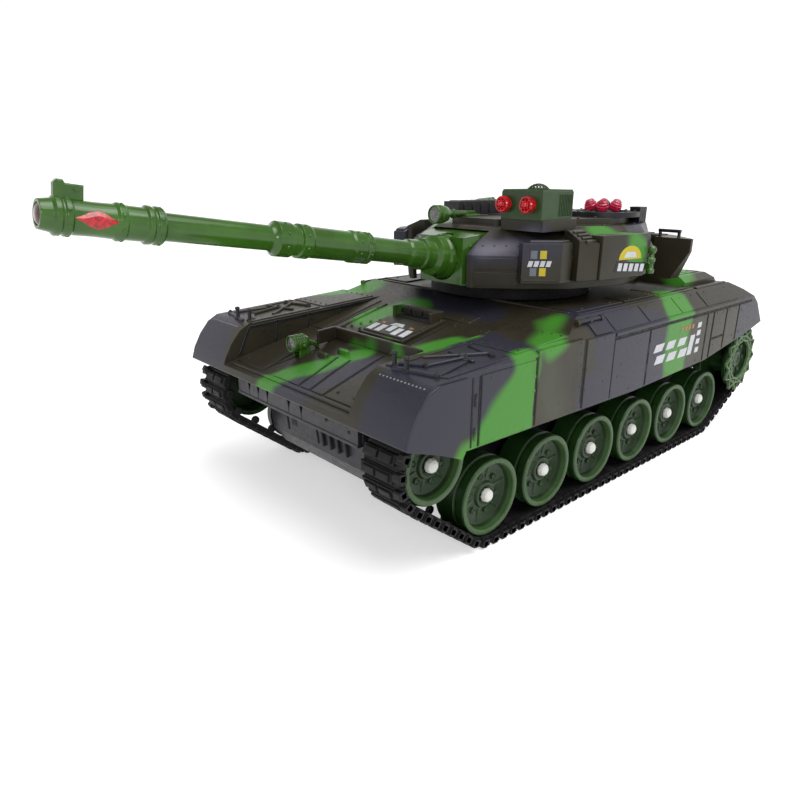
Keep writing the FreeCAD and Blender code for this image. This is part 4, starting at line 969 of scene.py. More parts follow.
def make_tub():
    piece("tub_tray", shape_of("lower_hull"), tub_plastic, "root", 0.5, ["lower_hull"])
    front = bmesh.new()
    gaps = [-43.5, -33.5, -26.0, -18.5, -2.0, 7.0, 43.5]
    lip_y, lip_top, lip_low, half_gap = -134.6, 56.4, 46.0, 2.4
    for i, (start, end) in enumerate(zip(gaps, gaps[1:])):
        left = start + (half_gap if i else 0)
        right = end - (half_gap if i < len(gaps) - 2 else 0)
        foot_left, foot_right = max(start, left - half_gap) + 0.2, min(end, right + half_gap) - 0.2
        corners = [(left, lip_top), (right, lip_top), (foot_right, lip_low + 2.4), (foot_right, lip_low),
                   (foot_left, lip_low), (foot_left, lip_low + 2.4)]
        prism(front, [(x, lip_y, z) for x, z in corners], Vector((0, 2.4, 0)))
    block(front, (-43.5, lip_y + 2.2, lip_low), (43.5, -124.0, 50.0))
    block(front, (-43.5, lip_y - 0.4, lip_low - 1.0), (43.5, -122.0, lip_low + 0.4), 0.3)
    for x0, x1 in ((-42.5, -31.0), (-29.6, -7.5), (24.0, 42.5)):
        plate(front, bow, oblong(x0, 40.6, x1, 26.0), 0.7, 0.3)
    for x in (0.0, 11.0):
        for step in (-3.2, 2.2):
            plate(front, bow, oblong(x + step, 37.6, x + step + 1.4, 27.0), 2.0, 0.5)
        plate(front, bow, oblong(x - 4.2, 38.6, x + 4.6, 36.8), 1.2, 0.4)
    for x, z in ((16.0, 52.0), (24.0, 50.5), (31.0, 53.0), (38.0, 49.6)):
        stud(front, (x, lip_y, z), (0, -1, 0), 0.9, 0.7)
    piece("tub_front_plates", front, tub_plastic, "root", 0.2)
    # Painted shade: dark plates in the bow's slots and dark blocks behind the lip's notches stand in for the
    # shadow in those recesses.
    dark = bmesh.new()
    for x0, x1, low, high in ((-27.0, -22.5, 30.0, 36.0), (-1.6, 2.0, 28.5, 36.0), (9.4, 13.0, 28.5, 36.0)):
        plate(dark, bow, oblong(x0, high, x1, low), 0.75 if x1 < -20 else 0.4)
    back_y = lip_y + 2.2
    for x in gaps[1:-1]:
        corners = oblong(x - 2.8, lip_top, x + 2.8, lip_low + 1.0)
        prism(dark, [(a, back_y, b) for a, b in corners], Vector((0, 0.8, 0)))
    piece("tub_front_shadows", dark, seam_painted_shade, "root")
    sides = bmesh.new()
    for side, sign in SIDES.items():
        wall = lambda y, z, out=0.0: Vector((sign * (46.0 + out), y, z))
        for y in (-108.0, -72.0, -36.0, 0.0, 36.0, 72.0):
            plate(sides, wall, [(y - 2.2, 50.0), (y + 2.2, 50.0), (y + 1.4, 30.0), (y - 1.4, 30.0)], 1.4, 0.4)
        plate(sides, wall, oblong(-114.0, 55.6, 128.0, 52.6), 1.0, 0.3)
    piece("tub_side_ribs", sides, tub_plastic, "root", 0.2)


def make_decks():
    deck = level(DECK_Z)
    plates = bmesh.new()
    for sign in (1, -1):
        def side_deck(x, y, out=0.0):
            return deck(sign * x, y, out)
        for outline in ([(46.0, -30.0), (61.6, -30.0), (61.6, 6.0), (50.0, 6.0)],
                        [(50.0, 8.0), (61.6, 8.0), (61.6, 38.0), (48.0, 38.0)],
                        [(46.0, 40.0), (61.6, 40.0), (61.6, 69.0), (34.0, 69.0)],
                        [(4.0, 44.0), (27.0, 44.0), (31.0, 69.0), (4.0, 69.0)]):
            plate(plates, side_deck, outline, 0.7, 0.3)
        ridge(plates, side_deck, (64.6, 72.0), (64.6, 106.0), 2.0, 0.8, 0.3)
        for y in (-24.0, -2.0, 14.0, 32.0, 46.0, 64.0):
            stud(plates, side_deck(59.6, y, 0.6), UP, 0.75, 0.6)
    ridge(plates, deck, (-60.0, -33.6), (60.0, -33.6), 1.6, 0.6, 0.2)
    hull_piece("deck_plates", plates, 0.15)
    top = level(89.0)
    engine = shape_of("engine_deck")
    for sign in (1, -1):
        for y0, y1 in ((74.6, 86.4), (88.0, 101.4)):
            plate(engine, top, mirrored(sign, oblong(44.6, y0, 52.0, y1)), 0.4, 0.2)
            stud(engine, top(sign * 48.3, (y0 + y1) / 2, 0.3), UP, 0.9, 0.6)
    hull_piece("engine_cover", engine, 0.35, ["engine_deck"])
    piece("engine_louvres", shape_of("engine_grille"), black_plastic, "root", 0.12,
          ["engine_grille"])


make_hull_shell()
for side_name, side_sign in SIDES.items():
    make_skirt(side_name, side_sign)
    make_shoulder(side_name, side_sign)
    make_fender(side_name, side_sign)
make_glacis()
make_driver_hatch()
make_headlamp()
make_stern()
make_tub()
make_decks()


# ---------------------------------------------------------------- running gear

SPROCKET_DRUM = 16.0
TRACK_GAP = 0.4
LINK_PITCH = 5.5
TRACK_OUT = 4.15
GUIDE_TOOTH = [(0, 0), (0, 1.5), (0.4, 2.0), (1.4, 2.0), (1.8, 1.5), (1.8, 0)]


def belt_circles(sign):
    """Centre and radius of the four circles the belt's inner face goes round, as y, z, radius."""
    side = "left" if sign > 0 else "right"
    circles = []
    for name in ("idler", "road_wheel_1", "road_wheel_6", "sprocket"):
        low, high = limits(f"{name}_{side}")
        middle = (low + high) / 2
        radius = SPROCKET_DRUM if name == "sprocket" else (high.z - low.z) / 2
        circles.append((middle.y, middle.z, radius + TRACK_GAP))
    return circles


def belt_path(circles):
    """The belt as straight runs and arcs: (kind, length, start, and a heading or a circle)."""
    joins = []
    for i, (y, z, r) in enumerate(circles):
        next_y, next_z, next_r = circles[(i + 1) % len(circles)]
        run = math.hypot(next_y - y, next_z - z)
        lean = math.atan2(next_z - z, next_y - y) - math.pi / 2 - math.asin((next_r - r) / run)
        side = Vector((0, math.cos(lean), math.sin(lean)))
        joins.append((Vector((0, y, z)) + side * r, Vector((0, next_y, next_z)) + side * next_r, lean))
    stretches = []
    for i, (start, end, lean) in enumerate(joins):
        stretches.append(("run", (end - start).length, start, (end - start).normalized(), lean))
        y, z, r = circles[(i + 1) % len(circles)]
        turn = (joins[(i + 1) % len(joins)][2] - lean) % (2 * math.pi)
        stretches.append(("arc", turn * r, Vector((0, y, z)), r, lean))
    return stretches


def belt_point(stretches, distance):
    """Place, heading and outward direction at a distance along the belt."""
    for kind, length, start, shape, lean in stretches:
        if distance > length:
            distance -= length
            continue
        if kind == "arc":
            lean += distance / shape
        out = Vector((0, math.cos(lean), math.sin(lean)))
        place = start + (out * shape if kind == "arc" else shape * distance)
        return place, Vector((0, -out.z, out.y)), out
    return belt_point(stretches, 0.0)


def make_track(side, sign):
    stretches = belt_path(belt_circles(sign))
    total = sum(stretch[1] for stretch in stretches)
    count = 2 * round(total / LINK_PITCH / 2)
    pitch = total / count
    inner_x, outer_x = 50.45, 71.75
    pad_starts, pad_wide = (52.2, 59.6), 6.2
    bm = bmesh.new()

    def bar(place, heading, out, x0, x1, t0, t1, n0, n1, chamfer):
        """A block in a link's own directions: across x, along t and out n."""
        corners = oblong(x0, t0, x1, t1)
        outline = [Vector((sign * x, 0, 0)) + place + heading * t + out * n0 for x, t in corners]
        prism(bm, outline, out * (n1 - n0), chamfer)

    for i in range(count):
        spot = belt_point(stretches, (i + 0.5) * pitch)
        half = pitch / 2
        bar(*spot, inner_x + 0.4, outer_x - 2.0, -half + 0.25, half - 0.25, 0.0, 2.2, 0.25)
        bar(*spot, inner_x, 67.0, -half + 0.5, half - 0.9, 2.0, 3.2, 0.3)
        for x in pad_starts:
            bar(*spot, x, x + pad_wide, -half + 1.1, half - 1.5, 3.0, TRACK_OUT, 0.3)
        bar(*spot, 67.4, outer_x, -half + 0.1, 0.5, 0.5, 3.6, 0.4)
        joint = belt_point(stretches, i * pitch)
        bar(*joint, 68.6, outer_x, -0.2, half - 0.2, 1.2, TRACK_OUT, 0.5)
        pin = joint[0] + joint[2] * 1.2 + Vector((sign * (inner_x + 0.2), 0, 0))
        lathe(bm, [(0, 0), (0, 0.9), (20.4, 0.9), (20.4, 0)], pin, (sign, 0, 0), 6)
        if i % 2:
            place, heading, out = spot
            foot = place - out * 1.1 + Vector((sign * (inner_x + 0.1), 0, 0))
            lathe(bm, GUIDE_TOOTH, foot, (sign, 0, 0), 12)
    piece(f"track_links_{side}", bm, track_rubber, "root", 0.0, [f"track_{side}"])


# Which of a wheel's three materials a face has.
TREAD, RIM, DISH = 0, 1, 2


def wheel_mesh(radius, sign):
    """A wheel with its inner face at the origin; its profile runs from the bore outwards and back."""
    hub = 4.4
    profile = [(0, 1.6), (0, hub), (8.0, hub), (8.0, radius - 3.0), (0.3, radius - 2.4), (0, radius - 2.0),
               (0, radius - 0.5), (0.5, radius), (9.4, radius), (9.9, radius - 0.8), (10.7, radius - 0.8),
               (11.2, radius), (14.3, radius), (14.8, radius - 0.35), (15.0, radius - 0.9),
               (15.0, radius - 1.9), (14.6, radius - 2.35), (12.6, radius - 2.75), (11.0, radius - 3.3),
               (10.6, radius - 4.2), (10.3, hub + 2.8), (10.9, hub + 1.2), (12.0, hub + 0.6),
               (12.2, hub - 0.3), (11.6, hub - 1.0), (11.0, 1.6)]
    tones = [DISH] * 5 + [TREAD] * 8 + [RIM] * 4 + [DISH] * 9
    bm = bmesh.new()
    lathe(bm, profile, (0, 0, 0), (sign, 0, 0), 64, tones, closed=True)
    for i in range(6):
        angle = math.radians(60 * i + 15)
        out = upright(angle)
        side = Vector((0, -out.z, out.y))
        along = Vector((sign, 0, 0))
        inner, outer = hub + 0.6, radius - 3.6
        corners = ((inner, -0.8), (inner, 0.8), (outer, 0.5), (outer, -0.5))
        prism(bm, [out * a + side * b + along * 10.0 for a, b in corners], along * 0.9, 0.3, DISH)
        angle += math.radians(30)
        bolt = Vector((sign * 10.2, 0, 0)) + upright(angle) * (radius * 0.5)
        lathe(bm, [(-0.3, 1.25), (0.9, 1.25), (1.1, 0.9), (0.7, 0.6), (0.7, 0)], bolt, along, 10, DISH)
    return bm


def wheel_nodes(side):
    return [f"idler_{side}"] + [f"road_wheel_{i + 1}_{side}" for i in range(6)]


def make_wheels(side, sign):
    for node in wheel_nodes(side):
        low, high = limits(node)
        middle = (low + high) / 2
        radius = (high.z - low.z) / 2
        bm = wheel_mesh(radius, sign)
        start = low.x if sign > 0 else high.x
        bm.transform(Matrix.Translation((start, middle.y, middle.z)))
        looks = [wheel_plastic, rim_plastic, dish_plastic]
        piece(f"{node}_moulding", bm, looks, node, 0.0, [node])


# (distance from the tank's middle, radius)
AXLE_PIN = [(42.0, 0), (42.0, 1.5), (66.4, 1.5), (66.4, 2.7), (67.2, 2.9), (68.6, 2.5),
            (69.3, 1.5), (69.4, 0)]


def make_axle_pins():
    """Steel-white pins: each shank runs into the tub, and its faceted cap holds the wheel on."""
    bm = bmesh.new()
    for side, sign in SIDES.items():
        for node in wheel_nodes(side):
            low, high = limits(node)
            middle = (low + high) / 2
            lathe(bm, AXLE_PIN, (0, middle.y, middle.z), (sign, 0, 0), 9)
    piece("axle_pin_caps", bm, white_plastic, "root", 0.2, ["axle_pins"])


def make_sprocket(side, sign):
    node = f"sprocket_{side}"
    low, high = limits(node)
    middle = (low + high) / 2
    centre = Vector((0, middle.y, middle.z))
    tip = (high.z - low.z) / 2
    face = max(abs(low.x), abs(high.x)) - 1.3
    along = Vector((sign, 0, 0))
    drum = bmesh.new()
    profile = [(33.0, 0), (33.0, 2.0), (52.4, 2.0), (52.4, 15.5), (52.9, 16.0), (57.0, 16.0), (57.4, 15.4),
               (57.4, 9.0), (69.2, 9.0), (69.2, 15.6), (69.6, 16.0), (71.4, 16.0), (71.6, 15.6), (71.6, 12.4),
               (70.6, 11.6), (70.2, 5.0), (71.2, 4.4), (71.4, 2.8), (70.8, 2.2), (70.8, 0)]
    lathe(drum, profile, centre, along, 56)
    for i in range(6):
        angle = math.radians(60 * i)
        spot = centre + along * 70.2 + upright(angle) * 8.0
        lathe(drum, [(-0.3, 1.5), (0.8, 1.5), (1.1, 1.1), (1.1, 0)], spot, along, 10)
    piece(f"{node}_drum", drum, [wheel_plastic], node, 0.15, [node])

    star = bmesh.new()
    teeth = 12
    root, ring = 14.2, 11.6

    def at(radius, step):
        angle = 2 * math.pi * step / teeth
        return centre + along * (face + 0.5) + upright(angle) * radius

    def strut(start, end, width):
        run = (end - start).normalized()
        side_way = along.cross(run) * width / 2
        outline = [start - side_way, end - side_way, end + side_way, start + side_way]
        prism(star, [point - along * 0.7 for point in outline], along * 1.45, 0.3)

    for i in range(teeth):
        strut(at(root, i - 0.5), at(tip - 0.5, i), 0.95)
        strut(at(tip - 0.5, i), at(root, i + 0.5), 0.95)
        strut(at(root, i - 0.5), at(root, i + 0.5), 1.0)
        strut(at(ring, i), at(ring, i + 1), 1.1)
        strut(at(ring, i), at(root, i + 0.5), 0.8)
        strut(at(root, i + 0.5), at(ring, i + 1), 0.8)
    # Partly the star's own green and partly a painted highlight: the whole star is made pale.
    piece(f"{node}_star", star, [star_green_painted_highlight], node, 0.0)


for side_name, side_sign in SIDES.items():
    make_track(side_name, side_sign)
    make_wheels(side_name, side_sign)
    make_sprocket(side_name, side_sign)
make_axle_pins()


# ---------------------------------------------------------------- turret

TURRET_SLOT = "turret_camouflage"


def turret_piece(name, bm, rounding=0.0, replaces=()):
    piece(name, bm, turret_paint, "turret", rounding, replaces)


# Heights of the turret's three outlines, and each outline down its left side.
TURRET_LEVELS = [
    (91.5, [(20.0, -51.5), (36.0, -36.5), (50.0, -20.0), (57.0, 2.0), (58.5, 13.0), (54.0, 28.0),
            (44.0, 56.0)]),
    (106.0, [(21.0, -52.5), (37.5, -37.5), (51.5, -20.5), (59.0, 2.0), (62.0, 16.0), (60.0, 34.0),
             (46.0, 56.0)]),
    (117.0, [(15.0, -37.0), (26.0, -27.0), (36.0, -12.0), (43.0, 5.0), (50.0, 20.0), (49.0, 36.0),
             (42.0, 55.0)]),
]
ROOF_Z = 120.0
ROOF_CORNER = [(14.0, -26.0), (20.0, -20.0), (18.0, -10.0), (7.0, -10.0)]
ROOF_BOLTS = [(37.0, 16.0), (39.0, 38.0), (34.0, 6.0), (34.0, 48.0), (14.0, -24.0), (16.0, 50.0), (8.0, 50.0)]
EDGE_BOLTS = [(44.5, 12.0), (47.0, 24.0), (46.0, 36.0), (43.5, 48.0)]


def facet(band, index, sign):
    """One flat of the turret: u runs back along its lower edge, v up to its upper edge."""
    (z0, low), (z1, high) = TURRET_LEVELS[band], TURRET_LEVELS[band + 1]
    a, b = (Vector((sign * x, y, z0)) for x, y in low[index:index + 2])
    c, d = (Vector((sign * x, y, z1)) for x, y in high[index:index + 2])
    normal = (b - a).cross(c - a).normalized() * sign

    def at(u, v, out=0.0):
        return a.lerp(b, u).lerp(c.lerp(d, u), v) + normal * out
    return at


def side_wall(sign):
    """The flat outer face of a side panel, from y and z."""
    normal = Vector((28.4 * sign, -4.2, 0)).normalized()
    return lambda y, z, out=0.0: Vector((sign * (59.2 + 4.2 * (y + 11.4) / 28.4), y, z)) + normal * out


def make_turret_body():
    turret_piece("turret_casting", shape_of("turret_shell"), 0.7, ["turret_shell"])
    neck = shape_of("turret_ring")
    # The neck is black plastic with painted shade: extra dark for the shadow under the turret.
    piece("turret_neck", neck, black_collar_painted_shade, "turret", 0.3, ["turret_ring"])
    plates, bolts, roof = bmesh.new(), bmesh.new(), level(ROOF_Z)
    for sign in SIDES.values():
        for index in range(6):
            lower, upper = facet(0, index, sign), facet(1, index, sign)
            if index in (0, 4, 5):
                plate(plates, lower, oblong(0.06, 0.08, 0.94, 0.5), 0.35, 0.15)
                plate(plates, lower, oblong(0.06, 0.58, 0.94, 0.93), 0.35, 0.15)
            if index in (0, 1):
                studs(bolts, upper, row((0.12, 0.34), (0.9, 0.34), 4), 0.55, 0.6)
        plate(plates, roof, mirrored(sign, ROOF_CORNER), 0.5, 0.2)
        studs(bolts, roof, mirrored(sign, ROOF_BOLTS), 0.8, 0.8)
        studs(bolts, level(117.0), mirrored(sign, EDGE_BOLTS), 0.7, 0.7)
    plate(plates, roof, oblong(-30.0, 30.0, -2.0, 48.0), 0.7, 0.3)
    plate(plates, roof, oblong(-13.0, -4.0, 9.0, 24.0), 0.5, 0.25)
    turret_piece("turret_plates", plates, 0.12)
    turret_piece("turret_bolts", bolts)


def make_cheek(side, sign):
    turret_piece(f"cheek_case_{side}", shape_of(f"cheek_box_{side}"), 0.35, [f"cheek_box_{side}"])
    trim = bmesh.new()
    lid = [(42.4, -40.6), (51.2, -30.2), (51.2, -24.2), (39.4, -37.6)]
    plate(trim, level(112.0), mirrored(sign, lid), 1.1, 0.4)
    inner, outer = Vector((sign * 41.0, -43.4, 0)), Vector((sign * 52.0, -30.6, 0))
    run = (outer - inner).normalized()
    normal = Vector((abs(run.y) * sign, -abs(run.x), 0))

    def cheek(a, z, out=0.0):
        return inner + run * a + UP * z + normal * out
    plate(trim, cheek, oblong(0.4, 96.0, 16.4, 97.0), 0.45, 0.15)
    turret_piece(f"cheek_trim_{side}", trim, 0.12)
    on_turret = {"body": "turret", "slot": TURRET_SLOT}
    for tone, a in ((decal_grey, 3.6), (decal_yellow, 7.6)):
        squares = [oblong(a, z, a + 2.8, z + 3.4) for z in (105.6, 98.4)]
        sticker(f"cheek_{tone.name}_{side}", tone, cheek, squares, lift=0.08, **on_turret)
    bars = [slanted(2.4 + 2.6 * i, 102.3, 1.9, 2.4, 0.6) for i in range(4)]
    sticker(f"cheek_bars_{side}", decal_white, cheek, bars, **on_turret)


def make_louvres(side, sign):
    turret_piece(f"louvre_case_{side}", shape_of(f"louvre_box_{side}"), 0.4, [f"louvre_box_{side}"])
    slats = bmesh.new()
    drop = (118.0 - 110.5) / (43.0 - 60.0)
    normal = Vector((-drop * sign, 0, 1)).normalized()

    def hood(x, y, out=0.0):
        return Vector((sign * x, y, 110.5 + drop * (x - 60.0))) + normal * out
    for i in range(4):
        x = 56.6 - 2.5 * i
        front, back = -19.6 + i * 0.35, -12.4 + i * 0.9
        plate(slats, hood, [(x, front), (x, back), (x - 1.3, back + 0.4), (x - 1.3, front + 0.3)], 0.6, 0.2)
    turret_piece(f"louvre_slats_{side}", slats, 0.1)


def make_emblem(side, sign):
    wall = side_wall(sign)
    on_turret = {"body": "turret", "slot": TURRET_SLOT}
    base = [(-3.0, 98.6), (17.6, 97.2), (18.8, 101.6), (-1.4, 103.2)]
    sticker(f"emblem_base_{side}", decal_black, wall, [base], lift=0.08, **on_turret)
    angles = [math.radians(a) for a in range(0, 181, 15)]
    arch = [(7.5 + 7.6 * math.cos(a), 103.6 + 6.0 * math.sin(a)) for a in angles]
    sticker(f"emblem_sun_{side}", decal_yellow, wall, [arch], **on_turret)
    bars = []
    for i in range(5):
        y, z = -0.6 + 3.8 * i, 98.9 - 0.28 * i
        bars.append([(y, z), (y + 2.6, z - 0.2), (y + 3.2, z + 3.2), (y + 0.6, z + 3.4)])
    bars.append([(3.0, 104.6), (12.0, 104.2), (10.4, 106.8), (5.0, 107.0)])
    sticker(f"emblem_bars_{side}", decal_white, wall, bars, lift=0.16, **on_turret)


def make_lug(side, sign):
    low, high = limits(f"side_bracket_{side}")
    middle = (low + high) / 2
    bracket = bmesh.new()
    profile = [(0, 0), (0, 1.7), (1.6, 1.9), (2.4, 1.3), (4.6, 1.1), (5.2, 1.7), (6.6, 1.9), (7.4, 1.2),
               (8.6, 1.0), (9.2, 1.6), (10.4, 2.1), (11.4, 1.8), (12.2, 1.0), (12.4, 0)]
    lathe(bracket, profile, (middle.x, middle.y, low.z), UP, 20)
    ends = sorted((sign * 60.8, middle.x))
    block(bracket, (ends[0], middle.y - 0.9, low.z + 1.6), (ends[1], middle.y + 0.9, low.z + 4.4), 0.3)
    eye = [(middle.x, middle.y + 2.4 * math.cos(t), low.z + 5.8 + 1.9 * math.sin(t))
           for t in (math.radians(30 * k) for k in range(13))]
    tube(bracket, eye, 0.5, 6)
    piece(f"side_lug_{side}", bracket, gun_plastic, "turret", 0.0, [f"side_bracket_{side}"])


def make_bin():
    bm = shape_of("rear_bin")
    grip_z, grip_y = 110.9, 55.0
    for face in bm.faces:
        middle = face.calc_center_median()
        if middle.z > grip_z and abs(middle.y - grip_y) < 1.6:
            face.material_index = 1
    low, high = limits("rear_bin")
    back = lambda x, z, out=0.0: Vector((x, high.y + out, z))
    for x0, x1 in ((-48.0, -17.0), (-15.5, 15.5), (17.0, 48.0)):
        plate(bm, back, oblong(x0, 93.0, x1, 107.0), 0.5, 0.25)
        studs(bm, raised(back, 0.4), [(x, z) for z in (95.0, 105.0) for x in (x0 + 2, x1 - 2)], 0.7, 0.5)
    piece("rear_basket", bm, [turret_paint, black_plastic], "turret", 0.35, ["rear_bin"])
    lid = shape_of("bin_lid")
    top = level(111.0)
    for i in range(5):
        x = -42.0 + 18.0 * i
        plate(lid, top, oblong(x, 59.2, x + 12.0, 65.6), 0.5, 0.2)
    turret_piece("rear_basket_lid", lid, 0.25, ["bin_lid"])


def make_sight():
    bm = bmesh.new()
    head_low, head_top = 121.0, 132.8
    block(bm, (20.0, -33.0, 116.0), (43.0, -8.6, head_low), 0.5, 1)
    block(bm, (19.6, -33.0, head_low - 0.3), (41.8, -10.7, head_top), 0.4, 0)
    for i in range(8):
        y = -20.6 + 1.2 * i
        rib = oblong(y, head_low + 1.2, y + 0.6, head_top - 1.4)
        prism(bm, [(41.4, a, b) for a, b in rib], Vector((0.9, 0, 0)), 0.2)
    rim = level(head_top)
    for corners in ((19.9, -32.7, 41.5, -31.5), (19.9, -12.2, 41.5, -11.0), (40.3, -31.4, 41.5, -12.3),
                    (19.9, -31.4, 21.1, -12.3)):
        plate(bm, rim, oblong(*corners), 0.5, 0.2)
    piece("sight_head", bm, [sight_green, turret_paint], "turret", 0.3, ["sight_box"])
    make_sight_net(Vector((31.0, -22.0, head_top - 3.4)))


def make_sight_net(centre):
    net = bmesh.new()
    radius, wire = 6.1, 0.28

    def on_dome(turn, lift):
        return centre + (flat(turn) * math.cos(lift) + UP * math.sin(lift)) * radius
    for i in range(8):
        tube(net, [on_dome(math.pi * i / 8, math.radians(40 + 10 * k)) for k in range(11)], wire, 5)
    for lift in (45, 62):
        tube(net, [on_dome(2 * math.pi * k / 24, math.radians(lift)) for k in range(25)], wire, 5)
    piece("sight_net", net, sight_green, "turret")


# (distance behind the front, radius)
LENS_RIM = [(6.0, 0), (6.0, 3.2), (3.4, 3.2), (3.2, 3.5), (1.7, 3.5), (1.3, 3.1), (1.5, 2.6),
            (2.6, 2.4), (2.6, 0)]
LENS_GLASS = [(2.7, 0), (2.7, 2.55), (1.9, 2.5), (1.7, 2.2), (1.9, 2.0), (1.1, 1.75), (0.9, 1.45), (1.1, 1.2),
              (0.45, 0.9), (0.25, 0.5), (0.2, 0)]


def make_sight_lenses():
    rims, glass = bmesh.new(), bmesh.new()
    low, high = limits("sight_lenses")
    for x in (22.1, 35.3):
        front = Vector((x, low.y, (low.z + high.z) / 2))
        lathe(rims, LENS_RIM, front, (0, 1, 0), 32)
        lathe(glass, LENS_GLASS, front, (0, 1, 0), 32)
        for i in range(8):
            angle = 2 * math.pi * i / 8
            way = Vector((math.cos(angle), 0, math.sin(angle)))
            bar_at = [front + way * 1.2 + Vector((0, 1.3, 0)), front + way * 3.0 + Vector((0, 1.5, 0))]
            tube(glass, bar_at, 0.22, 5)
    # The sight's red rims and glass take the lens material's glow: a painted glow, as the sight is no lamp.
    piece("sight_rims", rims, red_lens, "turret", 0.0, ["sight_lenses"])
    piece("sight_glass", glass, red_lens, "turret")


def make_searchlight():
    low, high = limits("searchlight")
    radius = (high.x - low.x) / 2
    origin = Vector(((low.x + high.x) / 2, low.y, high.z - radius))
    bm = bmesh.new()
    profile = [(1.4, 0), (1.4, radius - 0.9), (0.2, radius - 0.8), (0, radius - 0.4), (0.6, radius),
               (2.0, radius), (2.2, radius - 0.4), (2.9, radius - 0.4), (3.1, radius), (5.5, radius * 0.97),
               (8.0, radius * 0.8), (9.4, radius * 0.5), (10.2, radius * 0.4), (12.0, radius * 0.36),
               (12.2, radius * 0.5), (13.6, radius * 0.5), (13.8, radius * 0.34), (22.0, radius * 0.3),
               (22.0, 0)]
    lathe(bm, profile, origin, (0, 1, 0), 32)
    foot = Vector((origin.x, high.y, ROOF_Z))
    plate(bm, level(ROOF_Z), oblong(foot.x - 2.6, foot.y - 10.0, foot.x + 2.6, foot.y), 1.0, 0.4)
    corners = ((-8.6, 0), (-1.0, 0), (-2.6, 2.6), (-8.6, 2.6))
    prism(bm, [foot + Vector((-1.3, a, b)) for a, b in corners], Vector((2.6, 0, 0)), 0.3)
    piece("searchlight_can", bm, gun_plastic, "turret", 0.12, ["searchlight"])
    glass = bmesh.new()
    wide = radius - 0.85
    lathe(glass, [(1.3, 0), (1.3, wide), (0.6, wide), (0.3, wide * 0.6), (0.15, 0)], origin, (0, 1, 0), 28)
    piece("searchlight_glass", glass, pale_lens, "turret", 0.0, ["searchlight_lens"])


def make_stowage():
    box = shape_of("roof_box")
    low, high = limits("roof_box")
    top = level(high.z)
    for i in range(6):
        y = -20.0 + 7.4 * i
        plate(box, top, oblong(-25.2, y, -16.8, y + 5.6), 0.4, 0.2)
    for i in range(7):
        y = -19.0 + 6.4 * i
        for x, way in ((high.x, 1), (low.x, -1)):
            rib = oblong(y, ROOF_Z + 1.0, y + 1.2, high.z - 0.9)
            prism(box, [(x - 0.2 * way, a, b) for a, b in rib], Vector((0.7 * way, 0, 0)), 0.2)
    piece("roof_stowage", box, black_plastic, "turret", 0.3, ["roof_box"])


def make_flap():
    flap = bmesh.new()
    hinge_y, hinge_z = 4.0, ROOF_Z + 0.2
    outline = [(-46.0, hinge_y + 2, 117.2), (-30.0, hinge_y, hinge_z), (-30.0, hinge_y + 17.0, hinge_z + 6.8),
               (-42.0, hinge_y + 17.0, hinge_z + 5.4)]
    a, b, c, d = (Vector(point) for point in outline)
    normal = (b - a).cross(d - a).normalized()
    normal = normal if normal.z > 0 else -normal

    def panel(u, v, out=0.0):
        return a.lerp(b, u).lerp(d.lerp(c, u), v) + normal * out
    plate(flap, panel, oblong(0, 0, 1, 1), 1.4, 0.5, sink=0.6)
    for i in range(7):
        u = 0.07 + 0.13 * i
        plate(flap, raised(panel, 1.3), oblong(u, 0.12, u + 0.07, 0.88), 0.6, 0.2)
    prism(flap, [(-42.0, hinge_y + 14.0, 116.6), (-30.5, hinge_y + 14.0, 117.6),
                 (-30.5, hinge_y + 15.6, hinge_z + 6.2), (-42.0, hinge_y + 15.6, hinge_z + 5.0)],
          Vector((0, 1.4, -0.4)), 0.3)
    piece("roof_flap", flap, gun_plastic, "turret", 0.2)


HATCH_CENTRE = Vector((27.5, 37.0, ROOF_Z))


def make_hatch_ring():
    ring = shape_of("hatch_ring")
    for i in range(12):
        place = HATCH_CENTRE + flat(2 * math.pi * (i + 0.5) / 12) * 15.8 + UP * 2.4
        if math.hypot(place.x - 40, place.y - 49) > 6:
            stud(ring, place, UP, 0.9, 0.6)
    for i in range(5):
        way = flat(math.radians(150 + 26 * i))
        side = Vector((-way.y, way.x, 0)) * 2.2
        foot = HATCH_CENTRE + way * 12.4 + UP
        back = foot - way * 2.6
        prism(ring, [foot - side, foot + side, back + side, back - side], UP * 1.9, 0.4)
    piece("commander_ring", ring, black_plastic, "turret", 0.3, ["hatch_ring"])


# (height, radius)
BEACON_HUB = [(1.4, 0), (1.4, 8.0), (2.4, 8.0), (3.0, 7.4), (3.2, 3.9), (6.6, 3.2), (7.4, 2.2), (7.5, 0)]
BEACON_LAMP = [(0, 0), (0, 2.5), (0.7, 3.0), (2.0, 3.1), (2.4, 2.8), (3.2, 2.8), (3.5, 2.3), (4.2, 2.2),
               (4.9, 1.4), (5.2, 0)]
ANTENNA = [(0, 0), (0, 2.2), (1.2, 2.2), (1.6, 1.2), (3.0, 1.2), (3.2, 0.7), (9.0, 0.5),
           (9.4, 0.8), (10.0, 0)]


def make_beacon():
    hub, lamps = bmesh.new(), bmesh.new()
    lathe(hub, BEACON_HUB, HATCH_CENTRE, UP, 24)
    for i in range(6):
        way = flat(math.radians(60 * i + 30))
        tube(hub, [HATCH_CENTRE + way * 2.5 + UP * 3.2, HATCH_CENTRE + way * 6.8 + UP * 2.4], 0.6, 6)
        way = flat(math.radians(60 * i))
        lathe(lamps, BEACON_LAMP, HATCH_CENTRE + way * 6.4 + UP * 3.2, UP + way * 0.35, 20)
    piece("beacon_base", hub, black_plastic, "turret", 0.15, ["beacon_hub"])
    piece("beacon_lenses", lamps, beacon_red, "turret", 0.0, ["beacon_lamps"])


def make_antenna():
    stub = bmesh.new()
    lathe(stub, ANTENNA, (-34.0, 40.0, 116.8), UP, 14)
    piece("antenna_stub", stub, black_plastic, "turret")


